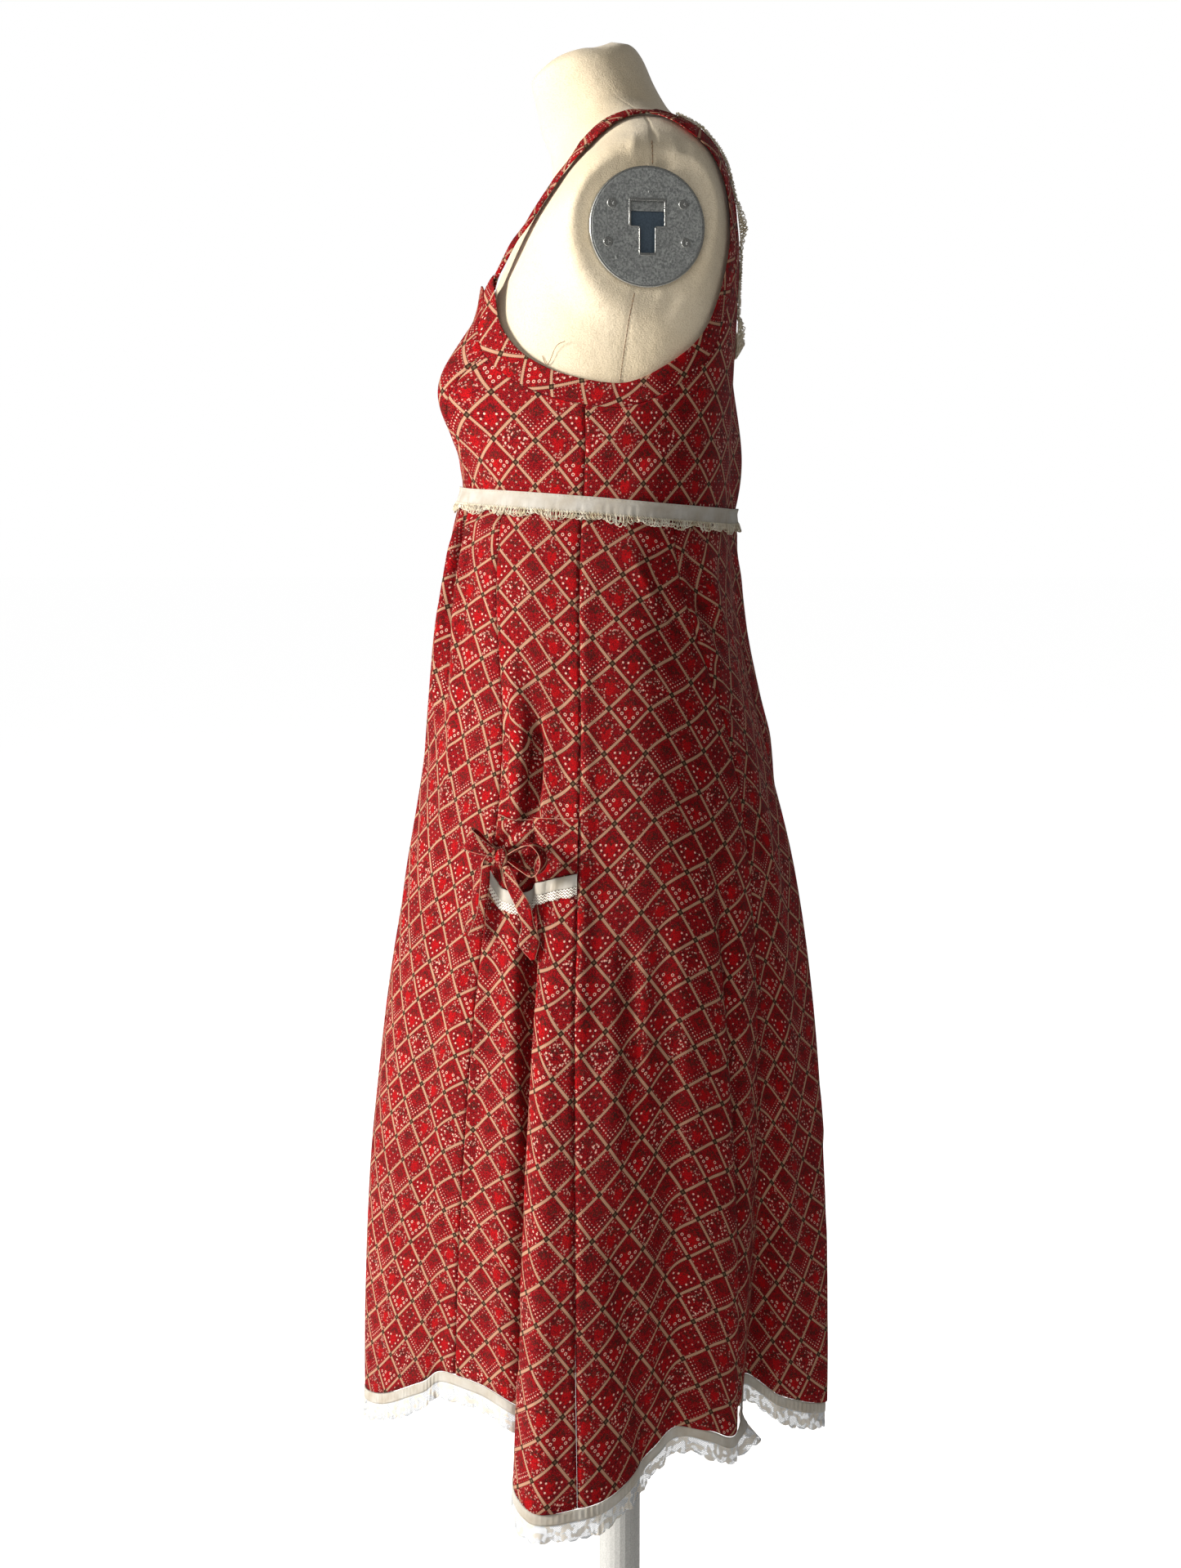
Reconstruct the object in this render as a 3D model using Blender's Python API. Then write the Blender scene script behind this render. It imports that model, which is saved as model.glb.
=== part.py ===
"""Prairie dress worn on a limbless dress form, in metres, +Z up, at its real size.

The dress front faces -Y and the wearer's left is +X. The origin is on the floor, at the axis
of the stand. Every cloth piece is a closed wall on one of two surfaces: the bodice surface,
which is the form's skin moved out, and the skirt surface, which hangs from the raised waist
seam to the hem. A point of the bodice is (turn, level): turn is degrees round the body, 0 at
the centre front and 90 at the left side, and level is the height of its ring at the side.
"""
import bpy
import numpy as np

for old_object in list(bpy.data.objects):
    bpy.data.objects.remove(old_object, do_unlink=True)

# Driving sizes
CLOTH = 0.0016             # wall of one cloth piece
TAPE = 0.0012              # wall of tape and lace
SEAM_GAP = 0.0003          # air between two pieces at a seam
EASE = 0.0040              # outer face of the bodice over the form's skin
SEAM_FRONT = 1.123         # raised waist seam, at the centre front
SEAM_BACK = 1.104          # and at the centre back
SKIRT_DROP = 0.0013        # the skirt starts this far below the seam's line
BAND_WIDTH = 0.0195
BAND_STEPS = 30
FRONT_COLUMNS = 9
BACK_COLUMNS = 11
SEAM_ROWS = 7              # rows of the side fronts, from the waist seam to the band
STRAP = {"width": 0.0120, "steps": 13, "end_gap": 0.5,      # end gap in degrees
         "inside": 0.0027, "inside_until": 0.13, "comes_out_over": 0.14}
WAIST_TAPE_UP = 0.0035     # tape above and below the waist seam
WAIST_TAPE_DOWN = 0.0095
WAIST_LOOPS_DOWN = 0.0165
WAIST_TAPE_INSIDE = 0.0019  # inner face of the tape off the cloth's outer face
HEM_TAPE = 0.0100
HEM_LACE = 0.0170
HEM_GAP = 0.0015           # down the cloth, which is less square to a slanting hem
SCALLOP_STEPS = 2          # columns of the lace to each scallop
TURN_STEP = 0.5            # degrees and metres over which a slope is measured
LEVEL_STEP = 0.0005
BUST = {"out": 0.030, "x": 0.078, "z": 1.2025, "wide": 0.042, "high": 0.048}
PLATE = {"x": 0.168, "y": 0.041, "z": 1.328, "radius": 0.0465, "yaw": 15.0, "clear": 0.0008,
         "face": 0.0023, "depth": 0.0068, "bevel": 0.0012, "wall": 0.0025}
# The skin is drawn flat behind a plate, fading out round it, and filled out to it in front
FLAT = {"to": 0.058, "fades_to": 0.085, "fills_to": 0.030, "fills_over": 0.040,
        "from_x": 0.090, "over_x": 0.030}
SLOT = {"head_wide": 0.029, "head_high": 0.021, "stem_wide": 0.013, "stem_high": 0.0215,
        "cut_from": 0.003, "cut_to": -0.010}
# Screws of an arm plate: distance towards the back and up from its middle
SCREWS = ((-0.0295, 0.0176), (0.0290, 0.0176), (-0.0325, -0.0124), (0.0310, -0.0120))
SCREW_DOME = ((0.0, 0.0), (0.0034, 0.0), (0.0030, 0.0009), (0.0, 0.0014))
POLE_Y = 0.022             # the stand's axis lies behind the middle of the skirt
POLE_RADIUS = 0.018
BASE = {"radius": 0.165, "height": 0.012, "lower_edge": 0.002, "edge_in": 0.005,
        "edge_down": 0.004}
FLANGE = {"radius": 0.045, "height": 0.006}
FORM_BOTTOM = 0.760

# The form's skin, one row for each ring. A ring passes through its front, side and back
# points; square is 2 for an ellipse and more where the ring is fuller at its corners.
RING_COLUMNS = ("side_z", "side_x", "side_y", "front_y", "front_z", "back_y", "back_z",
                "front_square", "back_square")
RINGS = (
    (0.760, 0.146, 0.022, -0.082, 0.760, 0.120, 0.760, 2.1, 2.1),    # bottom
    (0.880, 0.162, 0.020, -0.100, 0.880, 0.130, 0.880, 2.1, 2.2),    # hips
    (0.960, 0.150, 0.014, -0.098, 0.960, 0.112, 0.960, 2.1, 2.2),
    (1.040, 0.128, 0.008, -0.090, 1.040, 0.098, 1.040, 2.1, 2.2),    # waist
    (1.115, 0.1405, 0.008, -0.106, 1.115, 0.110, 1.115, 2.1, 2.4),   # raised waist seam
    (1.150, 0.1450, 0.010, -0.108, 1.150, 0.111, 1.150, 2.1, 2.6),
    (1.200, 0.1510, 0.012, -0.108, 1.200, 0.112, 1.200, 2.1, 2.8),   # bust
    (1.250, 0.1570, 0.018, -0.098, 1.250, 0.114, 1.250, 2.2, 3.0),
    (1.300, 0.1640, 0.028, -0.080, 1.300, 0.116, 1.310, 2.2, 3.4),
    (1.345, 0.1680, 0.036, -0.062, 1.340, 0.112, 1.350, 2.1, 3.8),   # arm plates
    (1.385, 0.1560, 0.038, -0.046, 1.365, 0.104, 1.385, 2.0, 3.8),   # shoulder points
    (1.410, 0.1290, 0.038, -0.036, 1.380, 0.093, 1.405, 2.0, 3.4),
    (1.424, 0.0980, 0.034, -0.036, 1.392, 0.080, 1.420, 2.0, 2.8),
    (1.437, 0.0660, 0.022, -0.038, 1.404, 0.068, 1.434, 2.1, 2.2),   # neck root
    (1.447, 0.0530, 0.010, -0.044, 1.419, 0.060, 1.444, 2.0, 2.0),
    (1.460, 0.0500, 0.002, -0.050, 1.446, 0.050, 1.461, 2.0, 2.0),
    (1.477, 0.0475, -0.006, -0.0535, 1.463, 0.038, 1.486, 2.0, 2.0),  # rim of the neck
    (1.486, 0.0385, -0.006, -0.0440, 1.475, 0.029, 1.4950, 2.0, 2.0),
    (1.4895, 0.0240, -0.006, -0.0270, 1.4835, 0.015, 1.4975, 2.0, 2.0),
)

# How far the bodice front stands off the form: it rises straight from the bust to its top.
STAND_OFF = ((1.10, 0.002), (1.20, 0.0015), (1.24, 0.003), (1.267, 0.0045), (1.297, 0.0100),
             (1.320, 0.0065), (1.345, 0.0010), (1.50, 0.0))

# The armhole edge, from the front corner under the arm to the shoulder: turn, level
ARMHOLE = ((30.5, 1.296), (38.0, 1.272), (46.0, 1.252), (59.0, 1.229), (76.0, 1.213),
           (97.0, 1.208), (116.0, 1.226), (129.0, 1.252), (136.0, 1.290), (139.0, 1.334),
           (137.0, 1.368), (128.0, 1.396), (112.0, 1.416), (96.0, 1.4215))
# The back neckline, from the centre back to the strap: turn, level
NECKLINE = ((180.0, 1.238), (169.0, 1.243), (160.0, 1.262), (156.0, 1.295), (153.0, 1.334),
            (149.0, 1.372), (143.8, 1.397), (136.5, 1.4135), (126.5, 1.4228))
PRINCESS = ((27.0, 1.122), (28.0, 1.150), (31.0, 1.185), (36.5, 1.215), (41.5, 1.236))
SIDE_SEAM = ((81.5, 1.115), (81.0, 1.150), (80.0, 1.1935))
STRAP_PATH = ((29.5, 1.284), (29.5, 1.300), (30.0, 1.325), (32.0, 1.352), (37.0, 1.380),
              (48.0, 1.404), (66.0, 1.4175), (84.0, 1.4225), (93.5, 1.4232))
STRAP_MEETS = (0.70, 0.01)  # share of the band's end where the strap's two edges meet it
FRONT_TOP = 1.293          # top edge of the front at its middle
BACK_MIDDLE = 1.160        # centre back, level with the top of the side seam
BACK_TURNS_UP = 124.0      # turn at which the armhole rises to the shoulder

# The skirt's even sections, before its folds: height, reach to the front, back and side,
# and where the side lies
SECTION_COLUMNS = ("z", "front", "back", "side", "side_y")
SECTIONS = (
    (1.123, 0.1125, 0.1155, 0.1450, 0.008),
    (1.095, 0.1205, 0.1160, 0.1480, 0.007),
    (1.053, 0.1290, 0.1165, 0.1530, 0.006),
    (1.011, 0.1360, 0.1210, 0.1590, 0.005),
    (0.948, 0.1420, 0.1340, 0.1680, 0.004),
    (0.877, 0.1480, 0.1510, 0.1750, 0.003),
    (0.784, 0.1590, 0.1680, 0.1800, 0.002),
    (0.683, 0.1720, 0.1810, 0.1850, 0.000),
    (0.559, 0.1850, 0.1920, 0.1900, 0.000),
    (0.456, 0.1950, 0.2010, 0.1930, 0.000),
    (0.300, 0.2070, 0.2080, 0.1950, 0.000),
)

# One row for each fold crest, flank, valley and seam, on the left and then on the right:
# turn at the waist seam, turn at the hips, turn at the hem, reach at the hem, height of the
# hem, and the height from which the fold grows
HEM_COLUMNS = ("waist", "hip", "turn", "reach", "height", "grows_from")
HEM_LEFT = (
    (0.0, 0.0, 0.0, 0.204, 0.335, 0.90),
    (17.0, 20.0, 13.0, 0.190, 0.341, 0.90),
    (33.0, 39.0, 27.0, 0.168, 0.362, 0.90),
    (49.0, 58.0, 40.0, 0.156, 0.377, 0.88),     # seam, front to side front
    (54.0, 63.0, 52.0, 0.153, 0.374, 0.86),
    (59.0, 67.5, 63.0, 0.156, 0.366, 0.86),
    (64.0, 71.0, 71.5, 0.138, 0.345, 0.93),     # deep valley under the bow
    (69.0, 74.5, 68.5, 0.182, 0.318, 0.80),
    (75.0, 79.0, 75.5, 0.213, 0.298, 0.84),     # large side fold
    (81.5, 84.0, 86.0, 0.207, 0.300, 0.84),     # side seam
    (89.0, 92.0, 94.0, 0.198, 0.308, 0.80),
    (96.0, 101.0, 103.0, 0.181, 0.328, 0.80),
    (102.0, 109.0, 113.0, 0.167, 0.350, 0.85),
    (107.0, 117.0, 122.0, 0.178, 0.346, 0.80),
    (112.0, 125.0, 131.0, 0.178, 0.336, 0.84),  # second fold
    (116.0, 132.0, 142.0, 0.157, 0.345, 0.88),
    (121.0, 139.0, 156.0, 0.140, 0.357, 0.92),  # seam, side back to back, in a valley
    (138.0, 152.0, 167.0, 0.166, 0.337, 0.90),
    (158.0, 166.0, 174.0, 0.190, 0.325, 0.90),
)
HEM_RIGHT = (
    (180.0, 180.0, 180.0, 0.204, 0.321, 0.90),
    (158.0, 166.0, 173.0, 0.192, 0.326, 0.90),
    (138.0, 152.0, 164.0, 0.168, 0.338, 0.90),
    (121.0, 139.0, 153.0, 0.148, 0.350, 0.92),
    (116.0, 132.0, 144.0, 0.166, 0.342, 0.88),
    (112.0, 125.0, 135.0, 0.181, 0.335, 0.84),
    (107.0, 117.0, 126.0, 0.176, 0.342, 0.80),
    (102.0, 109.0, 116.0, 0.161, 0.350, 0.85),
    (96.0, 101.0, 106.0, 0.172, 0.336, 0.80),
    (89.0, 92.0, 97.0, 0.192, 0.315, 0.80),
    (81.5, 84.0, 88.0, 0.206, 0.302, 0.84),
    (75.0, 79.0, 80.0, 0.205, 0.306, 0.84),
    (69.0, 74.5, 73.0, 0.178, 0.322, 0.80),
    (64.0, 71.0, 70.0, 0.148, 0.342, 0.93),
    (59.0, 67.5, 62.0, 0.166, 0.352, 0.86),
    (54.0, 63.0, 53.0, 0.160, 0.362, 0.86),
    (49.0, 58.0, 43.0, 0.160, 0.366, 0.88),
    (33.0, 39.0, 29.0, 0.172, 0.352, 0.90),
    (17.0, 20.0, 14.0, 0.191, 0.338, 0.90),
)
SEAM_TURNS = (49.0, 81.5, 121.0)  # front to side front, side seam, side back to back
SKIRT_SQUARE = (2.1, 2.2)  # how square the front and the back of an even section are
DRIFT = {"from_z": 1.10, "over": 0.19}  # the columns pass from waist turns to hip turns
FOLD_POWER = 1.15          # how a fold's depth grows down the skirt

# Smaller forms of the skirt: side (1 left, -1 right, 0 both), turn at the waist, half width
# in degrees, height of the middle, half height, and how far the cloth moves out
DENT_COLUMNS = ("side", "turn", "half_turn", "z", "half_z", "out")
DENTS = (
    (0, 25.0, 4.5, 1.085, 0.120, -0.0110),   # pleat let out of the waist seam
    (0, 30.5, 4.5, 1.060, 0.150, 0.0030),
    (1, 57.0, 4.5, 0.915, 0.075, 0.0060),    # puff above the bow
    (1, 63.5, 3.5, 0.900, 0.060, -0.0080),
    (-1, 57.5, 4.5, 0.905, 0.075, 0.0055),
    (-1, 64.0, 3.5, 0.895, 0.060, -0.0075),
    (1, 57.0, 5.0, 0.828, 0.022, -0.0060),   # drawn in by the tie
    (-1, 57.0, 5.0, 0.828, 0.022, -0.0060),
    (-1, 152.0, 24.0, 1.080, 0.140, 0.0110), # loose right half of the back
    (1, 128.0, 9.0, 1.045, 0.050, -0.0050),  # drag folds under the back of the waist
    (1, 140.0, 8.0, 1.030, 0.050, 0.0050),
)
BACK_PUFF = {"turn": -152.0, "half_turn": 26.0, "z": 1.140, "half_z": 0.130, "out": 0.020}

TOP_FADE = 0.06            # share of the skirt over which its top leaves the bodice edge
DENTS_FROM = 0.035         # the seam holds the cloth flat above this share
SKIRT_ROWS = (0.0, 0.030, 0.070, 0.120, 0.185, 0.260, 0.340, 0.420, 0.520, 0.630, 0.750,
              0.875, 1.0)
FORM_COLUMNS = 46
FORM_LEVELS = (0.760, 0.840, 0.930, 1.020, 1.085, 1.130, 1.158, 1.180, 1.202, 1.224, 1.250,
               1.278, 1.306, 1.330, 1.353, 1.374, 1.392, 1.407, 1.419, 1.429, 1.438, 1.447,
               1.461, 1.477, 1.484, 1.4895)
SEGMENTS = {"plate": 32, "screw": 8, "flange": 32, "pole": 24, "base": 40}

# Lace of the back neckline, as distances into the cloth or the opening and off the cloth
NECK_LACE = {"sewn": 0.004, "sewn_lift": 0.0022, "edge": 0.0005, "edge_lift": 0.0030,
             "over": 0.003, "stands": 0.0085, "wave": 0.0015}
# The pocket's edges along the gore, from its front end to the side seam
POCKET = {"share": (0.0, 0.12, 0.30, 0.55, 1.0), "top": (0.861, 0.859, 0.858, 0.860, 0.860),
          "bottom": (0.816, 0.802, 0.800, 0.809, 0.817), "tape": 0.011, "lace": 0.008,
          "pucker": 0.0030, "clear": 0.0008, "gap": 0.0009}
BOW = {"turn": 54.0, "z": 0.828, "facing": 63.0, "knot": (0.012, 0.015, 0.010),
       "knot_out": 0.0125, "knot_rings": 5, "knot_columns": 10}
# Bow ribbons, in mm: back, up, out, width, and the direction of the width (back, up, out)
BOW_RIBBONS = (
    ("bow_loop_back_", ((6.0, 2.5, 12.5, 5, 0.1, 0.1, 1), (17, 8.5, 13, 9, 0.1, 0.1, 1),
                        (29, 12.5, 14, 12, 0.1, 0.0, 1), (37, 6, 14.5, 13, 0.1, 0.0, 1),
                        (38, -4, 14.5, 13, 0.1, 0.0, 1), (31, -12, 14, 12, 0.1, -0.1, 1),
                        (18, -8, 13, 9, 0.1, -0.1, 1), (6.0, -2.5, 12.5, 5, 0.1, -0.1, 1))),
    ("bow_loop_front_", ((-5.8, 3.5, 14.0, 5, 0.2, 1, 0.0), (-15, 7.5, 18.5, 10, 0.3, 1, 0.0),
                         (-25, 12, 19.5, 14, 0.4, 1, 0.0), (-30.5, 14.5, 15, 15, 0.4, 1, 0.0),
                         (-26, 12.5, 10.5, 14, 0.4, 1, 0.0), (-16, 7.5, 10.5, 9, 0.3, 1, 0.0),
                         (-5.8, 3.5, 11.0, 5, 0.2, 1, 0.0))),
    ("bow_tail_front_", ((-6.7, -3.9, 12.0, 5, 0.3, 1, 0.0), (-15, -4, 14.5, 8, 0.5, 1, 0.3),
                         (-21, -12, 14, 10, 1, 0.4, 0.6), (-24, -29, 13.5, 11, 1, 0.1, 0.7),
                         (-27, -47, 13.5, 11, 1, 0.1, 0.6), (-33, -66, 14.5, 6, 1, 0.3, 0.4))),
    ("bow_tail_back_", ((2.5, -6.9, 12.5, 6, 1, 0.1, 0.2), (9, -22, 12.0, 11, 1, 0.1, 0.2),
                        (18, -38, 11.5, 12, 1, 0.2, 0.1), (22, -54, 10.5, 9, 1, 0.1, -0.1),
                        (23, -68, 10.0, 15, 1, 0.2, -0.2), (27, -82, 10.5, 3, 1, 0.3, -0.2))),
)


def material(name, colour, roughness, metallic=0.0):
    """A plain Principled finish."""
    finish = bpy.data.materials.new(name)
    finish.use_nodes = True
    shader = finish.node_tree.nodes["Principled BSDF"]
    shader.inputs["Base Color"].default_value = (*colour, 1.0)
    shader.inputs["Roughness"].default_value = roughness
    shader.inputs["Metallic"].default_value = metallic
    return finish


CALICO = material("red_calico", (0.50, 0.03, 0.03), 0.85)
TAPE_WHITE = material("white_tape", (0.80, 0.76, 0.70), 0.85)
LACE_CREAM = material("cream_lace", (0.74, 0.68, 0.56), 0.90)
JERSEY = material("cream_jersey", (0.84, 0.75, 0.58), 0.90)
GALVANISED = material("galvanised_plate", (0.45, 0.46, 0.46), 0.35, 0.9)
STAND_STEEL = material("painted_stand", (0.55, 0.55, 0.53), 0.45)

ROOT = bpy.data.objects.new("dress_on_form", None)
bpy.context.collection.objects.link(ROOT)
ROOT.location = (0.0, -POLE_Y, 0.0)


def eased(xs, ys, at):
    """Smooth curve through a table, with no overshoot: cubic pieces whose slope at each row
    is the harmonic mean of its neighbours' slopes, or 0 at a crest or valley."""
    xs = np.asarray(xs, float)
    ys = np.asarray(ys, float)
    slopes = np.diff(ys) / np.diff(xs)
    inner = np.zeros(len(xs) - 2)
    same = slopes[1:] * slopes[:-1] > 0
    inner[same] = 2.0 / (1.0 / slopes[1:][same] + 1.0 / slopes[:-1][same])
    tangent = np.concatenate([[slopes[0]], inner, [slopes[-1]]])
    at = np.clip(at, xs[0], xs[-1])
    i = np.clip(np.searchsorted(xs, at, side="right") - 1, 0, len(xs) - 2)
    width = xs[i + 1] - xs[i]
    s = (at - xs[i]) / width
    return (ys[i] * (1 + 2 * s) * (1 - s) ** 2 + ys[i + 1] * s * s * (3 - 2 * s)
            + width * (tangent[i] * s * (1 - s) ** 2 - tangent[i + 1] * s * s * (1 - s)))


def rounded(xs, ys, at):
    """Smooth curve through a table, with the slope at each row that of its two neighbours."""
    xs = np.asarray(xs, float)
    ys = np.asarray(ys, float)
    tangent = np.gradient(ys, xs)
    at = np.clip(at, xs[0], xs[-1])
    i = np.clip(np.searchsorted(xs, at, side="right") - 1, 0, len(xs) - 2)
    width = xs[i + 1] - xs[i]
    s = (at - xs[i]) / width
    return (ys[i] * (1 + 2 * s) * (1 - s) ** 2 + ys[i + 1] * s * s * (3 - 2 * s)
            + width * (tangent[i] * s * (1 - s) ** 2 - tangent[i + 1] * s * s * (1 - s)))


def column(table, columns, name):
    """One named column of a table."""
    return np.array([row[columns.index(name)] for row in table])


def smoothstep(x):
    """0 below 0, 1 above 1, and an S curve between."""
    x = np.clip(x, 0.0, 1.0)
    return x * x * (3 - 2 * x)


def bell(distance):
    """1 at 0, falling smoothly to 0 at 1."""
    return smoothstep(1.0 - np.abs(distance))


def lame(turn, side, front, back, side_y, square_front, square_back):
    """Point of a rounded oval in plan: a unit oval |x|^p + |y|^p = 1 stretched to its reach."""
    sine, cosine = np.sin(turn), np.cos(turn)
    ahead = cosine > 0
    power = np.where(ahead, square_front, square_back)
    radius = (np.abs(sine) ** power + np.abs(cosine) ** power) ** (-1.0 / power)
    depth = np.where(ahead, side_y + front, back - side_y)
    return side * radius * sine, side_y - depth * radius * cosine


def plate_plane(y):
    """X of the flat shoulder end at y, on the left side."""
    return PLATE["x"] - (y - PLATE["y"]) * np.tan(np.radians(PLATE["yaw"]))


def skin(turn, level):
    """The form's skin at a turn in degrees and a ring level in metres."""
    turn = np.radians(turn)
    levels = column(RINGS, RING_COLUMNS, "side_z")
    ring = {name: eased(levels, column(RINGS, RING_COLUMNS, name), level)
            for name in RING_COLUMNS}
    x, y = lame(turn, ring["side_x"], -ring["front_y"], ring["back_y"], ring["side_y"],
                ring["front_square"], ring["back_square"])
    end_z = np.where(np.cos(turn) > 0, ring["front_z"], ring["back_z"])
    z = ring["side_z"] + (end_z - ring["side_z"]) * np.cos(turn) ** 2
    bust = np.exp(-((np.abs(x) - BUST["x"]) / BUST["wide"]) ** 2
                  - ((z - BUST["z"]) / BUST["high"]) ** 2)
    y = y - BUST["out"] * bust * np.clip(3.0 * np.cos(turn), 0.0, 1.0)
    away = np.hypot(y - PLATE["y"], z - PLATE["z"])
    flat = smoothstep((FLAT["fades_to"] - away) / (FLAT["fades_to"] - FLAT["to"]))
    to_plane = plate_plane(y) - PLATE["depth"] - PLATE["clear"] - np.abs(x)
    fills = smoothstep((PLATE["y"] + FLAT["fills_to"] - y) / FLAT["fills_over"])
    to_plane = np.minimum(to_plane, 0.0) + fills * np.maximum(to_plane, 0.0)
    off_middle = smoothstep((np.abs(x) - FLAT["from_x"]) / FLAT["over_x"])
    x = x + np.sign(x) * to_plane * flat * off_middle
    return np.stack(np.broadcast_arrays(x, y, z), axis=-1)


def normal_of(surface, turn, level):
    """Unit normal of a surface of turn and level, from its two slopes, pointing outwards."""
    along = surface(turn + TURN_STEP, level) - surface(turn - TURN_STEP, level)
    up = surface(turn, level + LEVEL_STEP) - surface(turn, level - LEVEL_STEP)
    normal = np.cross(along, up)
    return normal / np.maximum(np.linalg.norm(normal, axis=-1, keepdims=True), 1e-12)


def bodice_face(turn, level):
    """Outer face of the bodice: the skin moved out, with the front standing off it."""
    turn = np.asarray(turn, float)
    level = np.asarray(level, float)
    point = skin(turn, level) + EASE * normal_of(skin, turn, level)
    table = np.array(STAND_OFF)
    ahead = np.clip(1.6 * np.cos(np.radians(turn)), 0.0, 1.0)
    point[..., 1] -= eased(table[:, 0], table[:, 1], level) * smoothstep(ahead)
    signed = (turn + 180.0) % 360.0 - 180.0
    puff = (bell((signed - BACK_PUFF["turn"]) / BACK_PUFF["half_turn"])
            * bell((level - BACK_PUFF["z"]) / BACK_PUFF["half_z"]))
    point[..., 1] += BACK_PUFF["out"] * puff
    return point


def bodice(turn, level, lift=0.0):
    """A point of the bodice, lifted off its outer face."""
    normal = normal_of(bodice_face, np.asarray(turn, float), np.asarray(level, float))
    return bodice_face(turn, level) + np.asarray(lift)[..., None] * normal


def beside(turn, level, distance):
    """The curve (turn, level) moved sideways on the bodice by a distance, to its right as it
    is followed, seen from outside."""
    at = bodice_face(turn, level)
    along = np.gradient(at, axis=0)
    along /= np.linalg.norm(along, axis=1, keepdims=True)
    sideways = np.cross(along, normal_of(bodice_face, turn, level))
    per_turn = bodice_face(turn + TURN_STEP, level) - bodice_face(turn - TURN_STEP, level)
    per_turn /= 2 * TURN_STEP
    per_level = bodice_face(turn, level + LEVEL_STEP) - bodice_face(turn, level - LEVEL_STEP)
    per_level /= 2 * LEVEL_STEP
    new_turn = turn + distance * (sideways * per_turn).sum(1) / (per_turn ** 2).sum(1)
    new_level = level + distance * (sideways * per_level).sum(1) / (per_level ** 2).sum(1)
    return new_turn, new_level


def seam_level(turn):
    """Height of the raised waist seam."""
    middle = 0.5 * (SEAM_FRONT + SEAM_BACK)
    return middle + 0.5 * (SEAM_FRONT - SEAM_BACK) * np.cos(np.radians(turn))


def hem_rows():
    """The two hem tables as one ring of rows, with turns that rise from 0 to 360."""
    rows = [list(row) for row in HEM_LEFT]
    rows += [[360 - row[0], 360 - row[1], 360 - row[2], *row[3:]] for row in HEM_RIGHT]
    return np.array(rows)


HEM = hem_rows()


def hem_value(turn, name):
    """A hem column at a waist turn, as a smooth closed curve through its rows."""
    values = HEM[:, HEM_COLUMNS.index(name)]
    growing = name in ("hip", "turn")
    before = values - 360.0 if growing else values
    after = values + 360.0 if growing else values
    xs = np.concatenate([HEM[:, 0] - 360.0, HEM[:, 0], HEM[:, 0] + 360.0])
    return rounded(xs, np.concatenate([before, values, after]), turn)


def hem_point(turn):
    """Where the cloth ends at a waist turn."""
    angle = np.radians(hem_value(turn, "turn"))
    reach = hem_value(turn, "reach")
    return np.stack([reach * np.sin(angle), -reach * np.cos(angle),
                     hem_value(turn, "height")], axis=-1)


def even_section(turn, z):
    """Point of the skirt's even sections at a turn and a height."""
    heights = column(SECTIONS, SECTION_COLUMNS, "z")[::-1]
    part = {name: eased(heights, column(SECTIONS, SECTION_COLUMNS, name)[::-1], z)
            for name in SECTION_COLUMNS}
    x, y = lame(np.radians(turn), part["side"], part["front"], part["back"], part["side_y"],
                *SKIRT_SQUARE)
    return np.stack([x, y, z], axis=-1)


def skirt_face(turn, down):
    """Outer face of the skirt at a waist turn and a share down from seam to hem. It starts on
    the bodice's edge, follows the even sections, and turns into the hem's folds."""
    turn, down = np.broadcast_arrays(np.asarray(turn, float), np.asarray(down, float))
    hem = hem_point(turn)
    top = seam_level(turn) - SKIRT_DROP
    z = top + (hem[..., 2] - top) * down
    drift = smoothstep((DRIFT["from_z"] - z) / DRIFT["over"])
    point = even_section(turn + (hem_value(turn, "hip") - turn) * drift, z)
    edge = bodice_face(turn, seam_level(turn))
    first = even_section(turn, seam_level(turn))
    near_top = bell(down / TOP_FADE)[..., None]
    point = point + (edge - first) * np.array([1.0, 1.0, 0.0]) * near_top
    start = hem_value(turn, "grows_from")
    grown = np.clip((start - z) / (start - hem[..., 2]), 0.0, 1.0) ** FOLD_POWER
    point[..., :2] += (hem - point)[..., :2] * grown[..., None]
    outward = point * np.array([1.0, 1.0, 0.0])
    outward /= np.linalg.norm(outward, axis=-1, keepdims=True)
    signed = (turn + 180.0) % 360.0 - 180.0
    for side, at, half_turn, middle, half_z, out in DENTS:
        for sign in ((1, -1) if side == 0 else (side,)):
            share = bell((signed - sign * at) / half_turn) * bell((z - middle) / half_z)
            share = share * smoothstep(down / DENTS_FROM)
            point = point + outward * (out * share)[..., None]
    return point


def skirt_turns():
    """Waist turns of the skirt's columns: each row of the hem tables and the middle between."""
    ends = np.append(HEM[:, 0], 360.0)
    return np.sort(np.concatenate([HEM[:, 0], 0.5 * (ends[:-1] + ends[1:])]))


def grid_normals(points, around=False):
    """Unit normals of a grid of points, rows down and columns round, pointing outwards."""
    if around:
        along = np.roll(points, -1, axis=1) - np.roll(points, 1, axis=1)
    else:
        along = np.gradient(points, axis=1)
    normal = np.cross(along, np.gradient(points, axis=0))
    normal /= np.maximum(np.linalg.norm(normal, axis=-1, keepdims=True), 1e-12)
    outward = points - np.array([0.0, POLE_Y, 0.0])
    outward[..., 2] = 0.0
    if (normal * outward).sum() < 0:
        normal = -normal
    return normal


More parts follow.
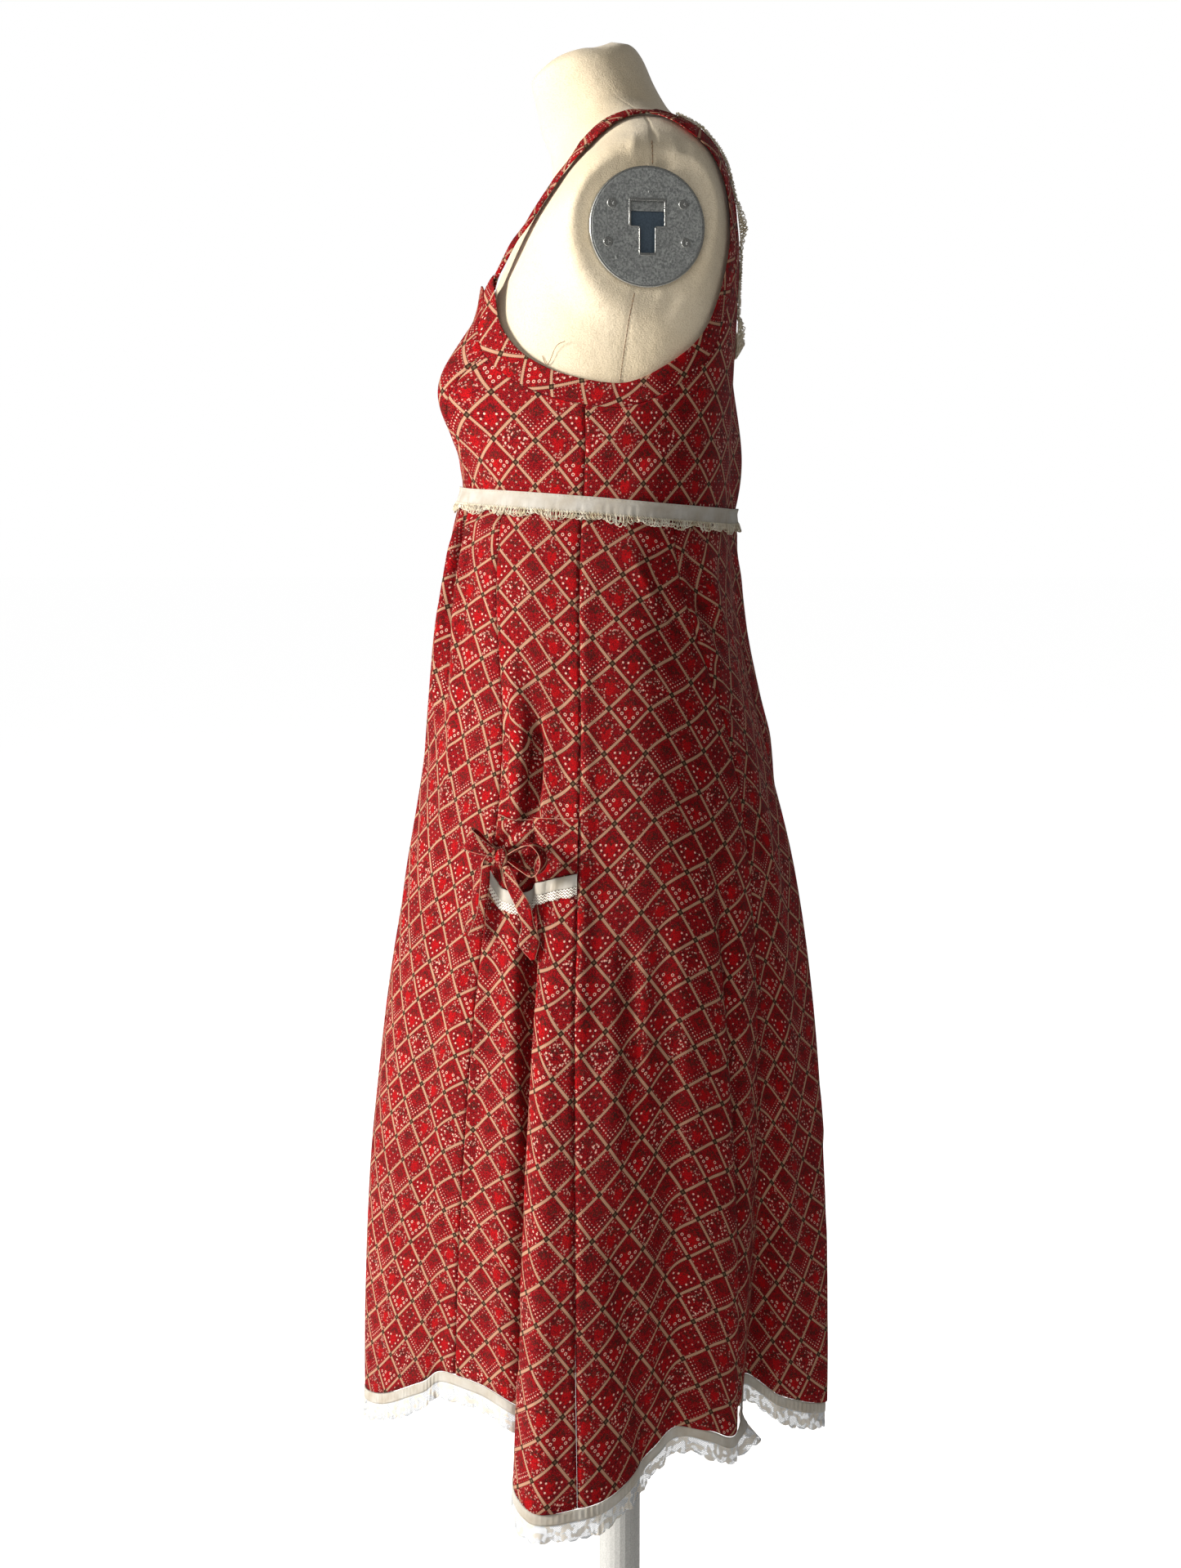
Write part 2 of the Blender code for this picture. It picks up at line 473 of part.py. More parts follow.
def pull_in(points, amount, sides="lrtb"):
    """Draw the edge rows and columns of a grid in by an amount, which leaves the seam gap."""
    moved = points.copy()
    edges = {"l": (np.s_[:, 0], np.s_[:, 1]), "r": (np.s_[:, -1], np.s_[:, -2]),
             "t": (np.s_[0], np.s_[1]), "b": (np.s_[-1], np.s_[-2])}
    for side in sides:
        edge, inner = edges[side]
        step = points[inner] - points[edge]
        moved[edge] += amount * step / np.linalg.norm(step, axis=-1, keepdims=True)
    return moved


def solid(name, points, faces, finish, smooth_below=50.0):
    """A named object from points and faces, turned to face out, on the part's root."""
    mesh = bpy.data.meshes.new(name)
    mesh.from_pydata([tuple(p) for p in points], [], faces)
    mesh.validate()
    p = np.asarray(points, float)
    volume = 0.0
    for face in faces:
        for b, c in zip(face[1:-1], face[2:]):
            volume += np.dot(p[face[0]], np.cross(p[b], p[c]))
    if volume < 0:
        mesh.flip_normals()
    mesh.materials.append(finish)
    mesh.shade_smooth()
    mesh.set_sharp_from_angle(angle=np.radians(smooth_below))
    made = bpy.data.objects.new(name, mesh)
    bpy.context.collection.objects.link(made)
    made.parent = ROOT
    return made


def wall(name, outer, inner, finish, around=False):
    """A closed wall between two grids of the same shape, open or closed round a body."""
    rows, columns = outer.shape[:2]
    count = rows * columns
    points = np.concatenate([outer.reshape(-1, 3), inner.reshape(-1, 3)])
    faces = []
    spans = columns if around else columns - 1
    for r in range(rows - 1):
        for c in range(spans):
            d = (c + 1) % columns
            face = (r * columns + c, r * columns + d, (r + 1) * columns + d, (r + 1) * columns + c)
            faces.append(face)
            faces.append(tuple(corner + count for corner in reversed(face)))
    for c in range(spans):
        d = (c + 1) % columns
        last = (rows - 1) * columns
        faces.append((c + count, d + count, d, c))
        faces.append((last + c, last + d, last + d + count, last + c + count))
    if not around:
        for r in range(rows - 1):
            a, b = r * columns, (r + 1) * columns
            faces.append((a, b, b + count, a + count))
            a, b = a + columns - 1, b + columns - 1
            faces.append((a + count, b + count, b, a))
    return solid(name, points, faces, finish)


def make_skirt():
    """Seven gores on the skirt surface, whose seams share their columns."""
    turns = skirt_turns()
    rows = np.array(SKIRT_ROWS)
    outer = skirt_face(turns[None, :], rows[:, None])
    normals = grid_normals(outer, around=True)
    inner = outer - CLOTH * normals
    front, side, back = SEAM_TURNS
    panels = (
        ("skirt_side_front_left", front, side),
        ("skirt_side_back_left", side, back),
        ("skirt_back_left", back, 180.0),
        ("skirt_back_right", 180.0, 360.0 - back),
        ("skirt_side_back_right", 360.0 - back, 360.0 - side),
        ("skirt_side_front_right", 360.0 - side, 360.0 - front),
        ("skirt_front", 360.0 - front, 360.0 + front),
    )
    count = len(turns)
    grids = {}
    for name, start, end in panels:
        first = int(np.argmin(np.abs(turns - start)))
        steps = int(np.sum((turns > start + 1e-6) & (turns < min(end, 360.0) - 1e-6))) + 1
        if end > 360.0:
            steps += int(np.sum(turns < end - 360.0 - 1e-6))
        index = (first + np.arange(steps + 1)) % count
        grids[name] = (outer[:, index], normals[:, index])
        wall(name, pull_in(outer[:, index], SEAM_GAP / 2, "lr"),
             pull_in(inner[:, index], SEAM_GAP / 2, "lr"), CALICO)
    return turns, outer, normals, grids


def make_bodice():
    """Centre front, side fronts, backs and armhole bands, on the bodice surface. The band's
    outer points are the panels' edge points."""
    hole = np.array(ARMHOLE)
    run = np.linspace(0.0, 1.0, BAND_STEPS + 1)
    knots = np.linspace(0.0, 1.0, len(hole))
    edge_turn, edge_level = (rounded(knots, hole[:, k], run) for k in (0, 1))
    band_turn, band_level = beside(edge_turn, edge_level, BAND_WIDTH)
    top = np.array(PRINCESS)[-1]
    at_princess = int(np.argmin(np.abs(band_turn[:BAND_STEPS // 2] - top[0])))
    lower = band_turn[at_princess:BAND_STEPS * 2 // 3]
    at_side = at_princess + int(np.argmin(np.abs(lower - SIDE_SEAM[-1][0])))
    neck = np.array(NECKLINE)
    last = len(run) - 3

    def along(table, count, end=None):
        """Points along a table of (turn, level), with the last row moved to an end point."""
        table = np.array(table, float)
        if end is not None:
            share = np.linspace(0.0, 1.0, len(table))[:, None]
            table = table + share * (np.array(end) - table[-1])
        spread = np.linspace(0.0, 1.0, len(table))
        at = np.linspace(0.0, 1.0, count)
        return np.stack([rounded(spread, table[:, k], at) for k in (0, 1)], axis=1)

    band = np.stack([band_turn, band_level], axis=1)
    princess = along(PRINCESS, SEAM_ROWS, band[at_princess])
    side_seam = along(SIDE_SEAM, SEAM_ROWS, band[at_side])
    princess[0, 1] = seam_level(princess[0, 0])
    side_seam[0, 1] = seam_level(side_seam[0, 0])

    def cloth(name, where, sides="lrtb"):
        """A bodice panel from a grid of (turn, level), top row first, and its mirror."""
        outer = bodice(where[..., 0], where[..., 1])
        inner = bodice(where[..., 0], where[..., 1], -CLOTH * np.ones(where.shape[:2]))
        return wall(name, pull_in(outer, SEAM_GAP / 2, sides),
                    pull_in(inner, SEAM_GAP / 2, sides), CALICO)

    def flipped(where):
        """The grid of the right-hand twin, left and right swapped."""
        return np.stack([-where[..., 0], where[..., 1]], axis=-1)

    def both(stem, where):
        cloth(stem + "_left", where)
        cloth(stem + "_right", flipped(where))

    # Centre front: its side edge follows the princess seam, then the band up to the corner.
    corner = band[0]
    edge = np.concatenate([princess, band[at_princess - 1::-1]])
    share = np.linspace(-1.0, 1.0, FRONT_COLUMNS)
    height = np.linspace(0.0, 1.0, len(edge))
    turn = share[None, :] * edge[:, :1]
    drop = (corner[1] - FRONT_TOP) * (1 - share[None, :] ** 2)
    rise = (seam_level(turn[0]) - edge[0, 1])[None, :]
    level = edge[:, 1:] - drop * height[:, None] ** 3 + rise * (1 - height[:, None]) ** 3
    cloth("bodice_front_centre", np.stack([turn, level], axis=-1)[::-1])

    # Side front: four edges blended, the top one lying along the band.
    top_edge = band[at_princess:at_side + 1]
    u = np.linspace(0.0, 1.0, len(top_edge))[None, :, None]
    v = np.linspace(0.0, 1.0, len(princess))[:, None, None]
    bottom = np.stack([np.linspace(princess[0, 0], side_seam[0, 0], len(top_edge))] * 2, axis=1)
    bottom[:, 1] = seam_level(bottom[:, 0])
    where = ((1 - v) * bottom[None] + v * top_edge[None]
             + (1 - u) * princess[:, None] + u * side_seam[:, None]
             - (1 - u) * (1 - v) * princess[0] - u * (1 - v) * side_seam[0]
             - (1 - u) * v * princess[-1] - u * v * side_seam[-1])
    both("bodice_front_side", where[::-1])

    # Back: rows join the side seam to the lower centre back, the bottom of the armhole to the
    # upper centre back, and its rise to the neckline.
    turned_up = at_side + int(np.argmin(np.abs(band_turn[at_side:last] - BACK_TURNS_UP)))
    outer_edge = np.concatenate([side_seam, band[at_side + 1:last + 1]])
    low = along(((180.0, seam_level(180.0)), (180.0, BACK_MIDDLE)), len(side_seam))
    high = along(((180.0, BACK_MIDDLE), (180.0, NECKLINE[0][1])), turned_up - at_side + 1)
    tail = along(neck, last - turned_up + 1)
    inner_edge = np.concatenate([low, high[1:], tail[1:]])
    u = np.linspace(0.0, 1.0, BACK_COLUMNS)[None, :, None]
    where = (1 - u) * outer_edge[:, None] + u * inner_edge[:, None]
    fix = (seam_level(where[0, :, 0]) - where[0, :, 1])[None, :]
    v = np.linspace(0.0, 1.0, len(outer_edge))[:, None]
    where[..., 1] += fix * np.clip(1 - 4 * v, 0.0, 1.0)
    both("bodice_back", where[::-1])

    # Armhole band, a strip between the open edge and the panels.
    strip = np.stack([band, np.stack([edge_turn, edge_level], axis=1)])
    both("armhole_band", strip)
    return {"neck": tail, "band_end": strip[:, -1]}


def make_straps(band_end):
    """Front straps, from inside the front corner over the shoulder to the band's end, which
    is cut on a slant."""
    path = np.array(STRAP_PATH)
    knots = np.linspace(0.0, 1.0, len(path))
    run = np.linspace(0.0, 1.0, STRAP["steps"])
    turn, level = (rounded(knots, path[:, k], run) for k in (0, 1))
    out = smoothstep((run - STRAP["inside_until"]) / STRAP["comes_out_over"])
    inside = -STRAP["inside"] * (1 - out)
    rails = [beside(turn, level, offset * STRAP["width"]) for offset in (-0.5, 0.5)]
    for (rail_turn, rail_level), share in zip(rails, STRAP_MEETS):
        end = band_end[1] + share * (band_end[0] - band_end[1])
        rail_turn[-1] = end[0] - STRAP["end_gap"]
        rail_level[-1] = end[1]
    for side, flip in (("left", 1.0), ("right", -1.0)):
        outer = np.stack([bodice(flip * a, b, inside) for a, b in rails])
        inner = np.stack([bodice(flip * a, b, inside - CLOTH) for a, b in rails])
        wall("strap_" + side, outer, inner, CALICO)


def strip_rows(points, directions, starts, ends):
    """A strip of two rows: each point moved along its direction to a start and to an end."""
    return np.stack([points + directions * np.asarray(starts)[..., None],
                     points + directions * np.asarray(ends)[..., None]])


def denser(points, each, around=False):
    """More columns along a grid or line of points: each span is cut into equal parts."""
    line = np.concatenate([points, points[:1]]) if around else points
    at = np.arange(0, (len(line) - 1) * each + (0 if around else 1)) / each
    low = np.minimum(at.astype(int), len(line) - 2)
    share = (at - low)[:, None]
    return line[low] * (1 - share) + line[low + 1] * share


def scallop(count, depth):
    """Share of a strip's height along its edge: full at each scallop's middle and less by
    depth between two scallops."""
    phase = (np.arange(count) % SCALLOP_STEPS) / SCALLOP_STEPS
    return 1.0 - depth * np.abs(2 * phase - 1) ** 2


def make_hem_trim(outer, normals):
    """Gathered tape and scalloped lace round the hem, on the line of the skirt's columns."""
    edge = outer[-1]
    fall = outer[-1] - outer[-2]
    fall /= np.linalg.norm(fall, axis=1, keepdims=True)
    count = len(edge)
    tape = strip_rows(edge, fall, np.full(count, HEM_GAP), np.full(count, HEM_TAPE))
    wall("hem_tape", tape, tape - TAPE * normals[-1], TAPE_WHITE, around=True)
    line, fall, out = (denser(v, SCALLOP_STEPS, around=True) for v in (edge, fall, normals[-1]))
    reach = HEM_TAPE + HEM_LACE * scallop(len(line), 0.30)
    lace = strip_rows(line, fall, np.full(len(line), HEM_TAPE + HEM_GAP), reach)
    wall("hem_lace", lace, lace - TAPE * out, LACE_CREAM, around=True)


def waist_strip(turns, top, bottom, lift):
    """Rows that cover the waist seam from a height above it to a depth below it."""
    level = seam_level(turns)
    length = level - hem_point(turns)[:, 2]
    rows = []
    if top > 0:
        rows.append(bodice(turns, level + top, lift))
    for below in (bottom,) if top > 0 else (-top, bottom):
        face = skirt_face(turns, np.broadcast_to(below, turns.shape) / length)
        out = face * np.array([1.0, 1.0, 0.0])
        out /= np.linalg.norm(out, axis=1, keepdims=True)
        rows.append(face + out * np.asarray(lift)[..., None])
    return np.stack(rows)


def make_waist_trim(turns):
    """Tape over the waist seam from the centre back round to it again, and the loop edging
    that hangs from it."""
    behind = np.searchsorted(turns, 180.0)
    line = np.concatenate([turns[behind:], turns[:behind] + 360.0, [540.0]])
    line = line % 360.0
    line[-1] = 180.0
    lift = np.full(len(line), WAIST_TAPE_INSIDE + TAPE)
    tape = waist_strip(line, WAIST_TAPE_UP, WAIST_TAPE_DOWN, lift)
    inside = waist_strip(line, WAIST_TAPE_UP, WAIST_TAPE_DOWN, lift - TAPE)
    wall("waist_tape", pull_in(tape, SEAM_GAP / 2, "lr"), pull_in(inside, SEAM_GAP / 2, "lr"),
         TAPE_WHITE)
    steps = np.unwrap(np.radians(line))
    fine = np.degrees(denser(steps[:, None], SCALLOP_STEPS)[:, 0])
    reach = WAIST_TAPE_DOWN + (WAIST_LOOPS_DOWN - WAIST_TAPE_DOWN) * scallop(len(fine), 0.35)
    lift = np.full(len(fine), WAIST_TAPE_INSIDE + TAPE)
    start = -(WAIST_TAPE_DOWN + SEAM_GAP)
    loops = waist_strip(fine % 360.0, start, reach, lift)
    inside = waist_strip(fine % 360.0, start, reach, lift - TAPE)
    wall("waist_loops", pull_in(loops, SEAM_GAP / 2, "lr"),
         pull_in(inside, SEAM_GAP / 2, "lr"), LACE_CREAM)


def make_neck_lace(neck):
    """Narrow lace sewn along the back neckline, standing off its edge in small waves."""
    level = neck[:, 1]
    turn = np.concatenate([neck[:0:-1, 0], 360.0 - neck[:, 0]])
    level = np.concatenate([neck[:0:-1, 1], level])
    at = bodice_face(turn, level)
    out = normal_of(bodice_face, turn, level)
    along = np.gradient(at, axis=0)
    opening = np.cross(out, along)
    opening /= np.linalg.norm(opening, axis=1, keepdims=True)
    wave = NECK_LACE["wave"] * np.cos(np.pi * np.arange(len(at)))[:, None]
    rows = np.stack([at - NECK_LACE["sewn"] * opening + NECK_LACE["sewn_lift"] * out,
                     at + NECK_LACE["edge"] * opening + NECK_LACE["edge_lift"] * out,
                     at + NECK_LACE["over"] * opening + (NECK_LACE["stands"] + wave) * out])
    inner = rows - TAPE * grid_normals(rows)
    wall("back_neck_lace", rows, inner, LACE_CREAM)


def on_columns(grid, heights):
    """Points of a panel's own columns at the given height, one for each column."""
    found = np.empty((len(heights), 3))
    for c, z in enumerate(heights):
        line = grid[::-1, c]
        found[c] = [np.interp(z, line[:, 2], line[:, 0]), np.interp(z, line[:, 2], line[:, 1]), z]
    return found


def make_pocket(side, panel, normals):
    """A patch on the side front gore with tape and lace on its lower edge, drawn up at its
    front end by the tie. Its points are the gore's own, moved out."""
    flip = side == "right"
    grid = panel[:, ::-1] if flip else panel
    out = normals[:, ::-1] if flip else normals
    grid, out = grid[:, 1:], out[:, 1:]
    count = grid.shape[1]
    share = np.linspace(0.0, 1.0, count)
    bottom = eased(POCKET["share"], POCKET["bottom"], share)
    top = eased(POCKET["share"], POCKET["top"], share)
    pucker = POCKET["pucker"] * (1 - smoothstep(share / 0.5)) * (np.arange(count) % 2)

    def rows_between(high, low, number, lift):
        """Rows of the strip between two edges, each moved out along the gore's normals."""
        rows = []
        for s in np.linspace(0.0, 1.0, number):
            heights = high + (low - high) * s
            rows.append(on_columns(grid, heights) + lift[:, None] * on_normals(heights))
        return np.stack(rows)

    def on_normals(heights):
        """The gore's normals at the given heights, taken from its nearest row."""
        picked = [np.argmin(np.abs(grid[:, c, 2] - z)) for c, z in enumerate(heights)]
        return out[picked, np.arange(count)]

    strips = (
        ("pocket_", top, bottom, 5, CLOTH, CALICO),
        ("pocket_tape_", bottom - POCKET["gap"], bottom - POCKET["tape"], 2, TAPE, TAPE_WHITE),
        ("pocket_lace_", bottom - POCKET["tape"] - POCKET["gap"],
         bottom - POCKET["tape"] - POCKET["lace"] * scallop(count, 0.35), 2, TAPE,
         LACE_CREAM),
    )
    for stem, high, low, number, thick, finish in strips:
        inner = rows_between(high, low, number, POCKET["clear"] + pucker)
        outer = rows_between(high, low, number, POCKET["clear"] + thick + pucker)
        wall(stem + side, pull_in(outer, SEAM_GAP, "lr"), pull_in(inner, SEAM_GAP, "lr"), finish)


def make_bow(side):
    """Knot, two loops and two tails, tied over the seam at the pocket's front end. Their
    paths are in the bow's own frame: back along the skirt, up, and out from it."""
    mirror = -1.0 if side == "right" else 1.0
    turn = np.array([360.0 - BOW["turn"] if side == "right" else BOW["turn"]])
    length = seam_level(turn) - hem_point(turn)[:, 2]
    anchor = skirt_face(turn, (seam_level(turn) - BOW["z"]) / length)[0]
    angle = np.radians(BOW["facing"])
    out = np.array([mirror * np.sin(angle), -np.cos(angle), 0.0])
    back = np.array([mirror * np.cos(angle), np.sin(angle), 0.0])
    frame = np.stack([back, [0.0, 0.0, 1.0], out])

    def ribbon(name, table):
        """A ribbon along a path, its width laid along a direction that turns with it."""
        table = np.array(table)
        knots = np.linspace(0.0, 1.0, len(table))
        at = np.linspace(0.0, 1.0, 2 * len(table) - 1)
        values = np.stack([rounded(knots, row, at) for row in table.T], axis=1)
        centre = anchor + (values[:, :3] / 1000.0) @ frame
        across = values[:, 4:7] @ frame
        across /= np.linalg.norm(across, axis=1, keepdims=True)
        half = values[:, 3:4] / 1000.0 / 2
        along = np.gradient(centre, axis=0)
        face = np.cross(along, across)
        face /= np.linalg.norm(face, axis=1, keepdims=True)
        grid = np.stack([centre - across * half, centre + across * half], axis=1)
        shift = (0.5 * CLOTH * face)[:, None]
        wall(name + side, grid + shift, grid - shift, CALICO)

    for name, table in BOW_RIBBONS:
        ribbon(name, table)
    rings = []
    size = np.array(BOW["knot"]) / 2.0
    centre = np.array([0.0, 0.0, BOW["knot_out"]])
    columns = BOW["knot_columns"]
    around = np.linspace(0.0, 2 * np.pi, columns, endpoint=False)
    for polar in np.linspace(0.0, np.pi, BOW["knot_rings"] + 2)[1:-1]:
        rings.append(np.stack([size[0] * np.sin(polar) * np.cos(around),
                               np.full(columns, size[1] * np.cos(polar)),
                               size[2] * np.sin(polar) * np.sin(around)], axis=1) + centre)
    points = [anchor + p @ frame for ring in rings for p in ring]
    solid("bow_knot_" + side, points, tube_faces(len(rings), columns), CALICO)


def tube_faces(rings, columns):
    """Faces of a closed tube of rings, with a flat cap at each end."""
    faces = [tuple(range(columns)), tuple(range((rings - 1) * columns, rings * columns))[::-1]]
    for r in range(rings - 1):
        for c in range(columns):
            d = (c + 1) % columns
            faces.append((r * columns + d, r * columns + c, (r + 1) * columns + c,
                          (r + 1) * columns + d))
    return faces


def make_torso():
    """The limbless form: rings of its skin from the flat bottom to the top of the neck."""
    turns = np.linspace(0.0, 360.0, FORM_COLUMNS, endpoint=False)
    rings = [skin(turns, np.full(FORM_COLUMNS, level)) for level in FORM_LEVELS]
    points = np.concatenate(rings)
    solid("form_torso", points, tube_faces(len(rings), FORM_COLUMNS), JERSEY, 60.0)


def turned(name, profile, segments, finish, axis="z"):
    """A solid of revolution from a closed profile of (radius, height) that starts and ends
    on its axis."""
    around = np.linspace(0.0, 2 * np.pi, segments, endpoint=False)
    points = [(0.0, 0.0, profile[0][1])]
    for radius, height in profile[1:-1]:
        points += [(radius * np.cos(a), radius * np.sin(a), height) for a in around]
    points.append((0.0, 0.0, profile[-1][1]))
    last = len(points) - 1
    faces = []
    for c in range(segments):
        d = (c + 1) % segments
        faces.append((0, 1 + d, 1 + c))
        for r in range(len(profile) - 3):
            a, b = 1 + r * segments, 1 + (r + 1) * segments
            faces.append((a + c, a + d, b + d, b + c))
        a = 1 + (len(profile) - 3) * segments
        faces.append((a + c, a + d, last))
    points = np.array(points)
    if axis == "x":
        points = points[:, [2, 0, 1]]
    return solid(name, points, faces, finish, 35.0)


def make_plate(side):
    """A round steel arm plate with a rim and a T slot cut through its face, and its four
    screw heads. Its own +X points out of the shoulder."""
    mirror = -1.0 if side == "right" else 1.0
    yaw = np.radians(PLATE["yaw"])
    heading = yaw if side == "left" else np.pi - yaw
    place = (mirror * PLATE["x"], PLATE["y"], PLATE["z"])
    radius, face, depth = PLATE["radius"], PLATE["face"], PLATE["depth"]
    inside = radius - PLATE["wall"]
    profile = ((0.0, 0.0), (radius - PLATE["bevel"], 0.0), (radius, -PLATE["bevel"]),
               (radius, -depth), (inside, -depth), (inside, -face), (0.0, -face))
    plate = turned("form_arm_plate_" + side, profile, SEGMENTS["plate"], GALVANISED, axis="x")
    plate.location = place
    plate.rotation_euler = (0.0, 0.0, heading)
    head, stem = SLOT["head_wide"] / 2, SLOT["stem_wide"] / 2
    outline = ((-head, SLOT["head_high"]), (-head, 0.0), (-stem, 0.0),
               (-stem, -SLOT["stem_high"]), (stem, -SLOT["stem_high"]), (stem, 0.0),
               (head, 0.0), (head, SLOT["head_high"]))
    points = [(x, y, z) for x in (SLOT["cut_from"], SLOT["cut_to"]) for y, z in outline]
    corners = len(outline)
    faces = [tuple(range(corners)), tuple(range(2 * corners - 1, corners - 1, -1))]
    for c in range(corners):
        d = (c + 1) % corners
        faces.append((c, c + corners, d + corners, d))
    cutter = solid("cut_slot_" + side, points, faces, GALVANISED)
    cutter.location = place
    cutter.rotation_euler = (0.0, 0.0, heading)
    cutter.hide_render = True
    cutter.display_type = "WIRE"
    cut = plate.modifiers.new("slot", "BOOLEAN")
    cut.operation = "DIFFERENCE"
    cut.solver = "EXACT"
    cut.object = cutter
    for number, (across, up) in enumerate(SCREWS, 1):
        screw = turned(f"form_plate_screw_{side}_{number}", SCREW_DOME, SEGMENTS["screw"],
                       GALVANISED, axis="x")
        out = np.array([np.cos(heading), np.sin(heading), 0.0])
        over = np.array([mirror * -np.sin(heading), mirror * np.cos(heading), 0.0])
        screw.location = np.array(place) + SEAM_GAP * out + across * over + np.array([0, 0, up])
        screw.rotation_euler = (0.0, 0.0, heading)


def make_stand():
    """A plain steel stand: flange under the torso, pole and round base."""
    flange_high = FORM_BOTTOM - SEAM_GAP
    flange_low = flange_high - FLANGE["height"]
    pole_low = BASE["height"] + SEAM_GAP
    pole_high = flange_low - SEAM_GAP
    radius = BASE["radius"]
    parts = (
        ("flange", ((0.0, flange_low), (FLANGE["radius"], flange_low),
                    (FLANGE["radius"], flange_high), (0.0, flange_high))),
        ("pole", ((0.0, pole_low), (POLE_RADIUS, pole_low),
                  (POLE_RADIUS, pole_high), (0.0, pole_high))),
        ("base", ((0.0, 0.0), (radius - BASE["lower_edge"], 0.0), (radius, BASE["lower_edge"]),
                  (radius, BASE["height"] - BASE["edge_down"]),
                  (radius - BASE["edge_in"], BASE["height"]), (0.0, BASE["height"]))),
    )
    for name, profile in parts:
        made = turned("form_" + name, profile, SEGMENTS[name], STAND_STEEL)
        made.location = (0.0, POLE_Y, 0.0)


skirt_columns, skirt_outer, skirt_normals, gores = make_skirt()
edges = make_bodice()
make_straps(edges["band_end"])
make_hem_trim(skirt_outer, skirt_normals)
make_waist_trim(skirt_columns)
make_neck_lace(edges["neck"])
for hand in ("left", "right"):
    make_pocket(hand, *gores["skirt_side_front_" + hand])
    make_bow(hand)
    make_plate(hand)
make_torso()
make_stand()
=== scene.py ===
# %% [markdown]
# # A prairie dress on its form
# The solids of this dress are already packed: seven skirt gores, five bodice panels, bands,
# straps, pockets, bows and trim, on a padded form with a steel stand. This lesson gives them
# their looks. Cloth is the hard part. It could be simulated, but the folds of a dress that
# hangs still are few and known, so here every sheet is a surface worked out with numpy, and
# its creases are listed, one row of a table for each.

# %% Load the frame
import math

import bpy
import numpy as np
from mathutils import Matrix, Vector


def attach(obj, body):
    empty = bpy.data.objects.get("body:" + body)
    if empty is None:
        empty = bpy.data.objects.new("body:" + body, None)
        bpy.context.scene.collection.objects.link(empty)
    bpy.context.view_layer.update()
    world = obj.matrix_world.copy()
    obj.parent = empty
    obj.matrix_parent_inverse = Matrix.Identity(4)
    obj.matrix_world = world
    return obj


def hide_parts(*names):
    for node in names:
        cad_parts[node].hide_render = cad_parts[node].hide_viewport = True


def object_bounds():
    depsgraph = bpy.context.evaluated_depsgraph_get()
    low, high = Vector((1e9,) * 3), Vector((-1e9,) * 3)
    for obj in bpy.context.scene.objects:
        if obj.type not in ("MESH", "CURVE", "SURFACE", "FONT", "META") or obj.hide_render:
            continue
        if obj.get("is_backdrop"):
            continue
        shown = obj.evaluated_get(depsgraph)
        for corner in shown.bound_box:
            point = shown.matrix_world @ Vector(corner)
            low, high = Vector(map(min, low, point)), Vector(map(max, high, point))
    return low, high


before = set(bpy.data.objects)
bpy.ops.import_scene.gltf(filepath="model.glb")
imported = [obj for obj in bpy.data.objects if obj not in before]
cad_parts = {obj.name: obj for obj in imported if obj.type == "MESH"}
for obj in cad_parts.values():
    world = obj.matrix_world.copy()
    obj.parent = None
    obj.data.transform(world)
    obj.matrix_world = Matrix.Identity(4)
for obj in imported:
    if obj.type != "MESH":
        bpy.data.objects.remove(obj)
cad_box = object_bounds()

rng = np.random.default_rng(7)
print("nodes in the frame:", len(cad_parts))

# %% [markdown]
# ## The camera
# The dress is seen from the wearer's left, from chest height and a little downwards. The
# camera sits on the +X side, with its long side upright.

# %% Camera
from mathutils import Vector

CAMERA = {"place": (2.3, -0.026, 1.109), "down": 5.935, "lens": 61.27, "film": 36.0}

view = bpy.data.cameras.new("view")
view.lens, view.sensor_fit, view.sensor_height = CAMERA["lens"], "VERTICAL", CAMERA["film"]
camera = bpy.data.objects.new("camera", view)
bpy.context.collection.objects.link(camera)
camera.location = CAMERA["place"]
camera.rotation_euler = (math.radians(90.0 - CAMERA["down"]), 0.0, math.radians(90.0))
bpy.context.scene.camera = camera
print("camera at", [round(v, 3) for v in camera.location])

# %% [markdown]
# ## Two surfaces
# The bodice lies on the form, so its surface is the form's skin moved out. The skirt hangs
# from the raised waist seam, so its surface runs from that seam down to the folds of the hem.
# Both are functions of a turn round the body, in degrees from the centre front to the left,
# and of a height. These are the same sizes and formulas that the solids were made with.

# %% Sizes of the dress and its form, in metres
SEAM_GAP = 0.0003         # air between two pieces at a seam
EASE = 0.0040             # outer face of the bodice over the form's skin
POLE_Y = 0.022            # the stand's axis lies behind the middle of the skirt
SEAM_FRONT = 1.123        # raised waist seam, at the centre front
SEAM_BACK = 1.104         # and at the centre back
SKIRT_DROP = 0.0013       # the skirt starts this far below the seam's line
BAND_WIDTH = 0.0195
BAND_STEPS = 30
STRAP_WIDTH = 0.0120
STRAP_INSIDE = 0.0027     # outer face of the strap's sewn end, inside the front
STRAP_END_GAP = 0.5       # degrees
WAIST_TAPE_DOWN = 0.0095  # tape below the waist seam
HEM_TAPE = 0.0100
HEM_LACE = 0.0170
HEM_GAP = 0.0015          # down the cloth, which is less square to a slanting hem
BUST = {"out": 0.030, "x": 0.078, "z": 1.2025, "wide": 0.042, "high": 0.048}
PLATE = {"x": 0.168, "y": 0.041, "z": 1.328, "radius": 0.0465, "yaw": 15.0, "clear": 0.0008,
         "depth": 0.0068, "flat_to": 0.058, "fade_to": 0.085}
MIRROR = {"left": 1.0, "right": -1.0}
BODICE_STEPS = (0.5, 0.0005)    # turn and level over which a slope is measured
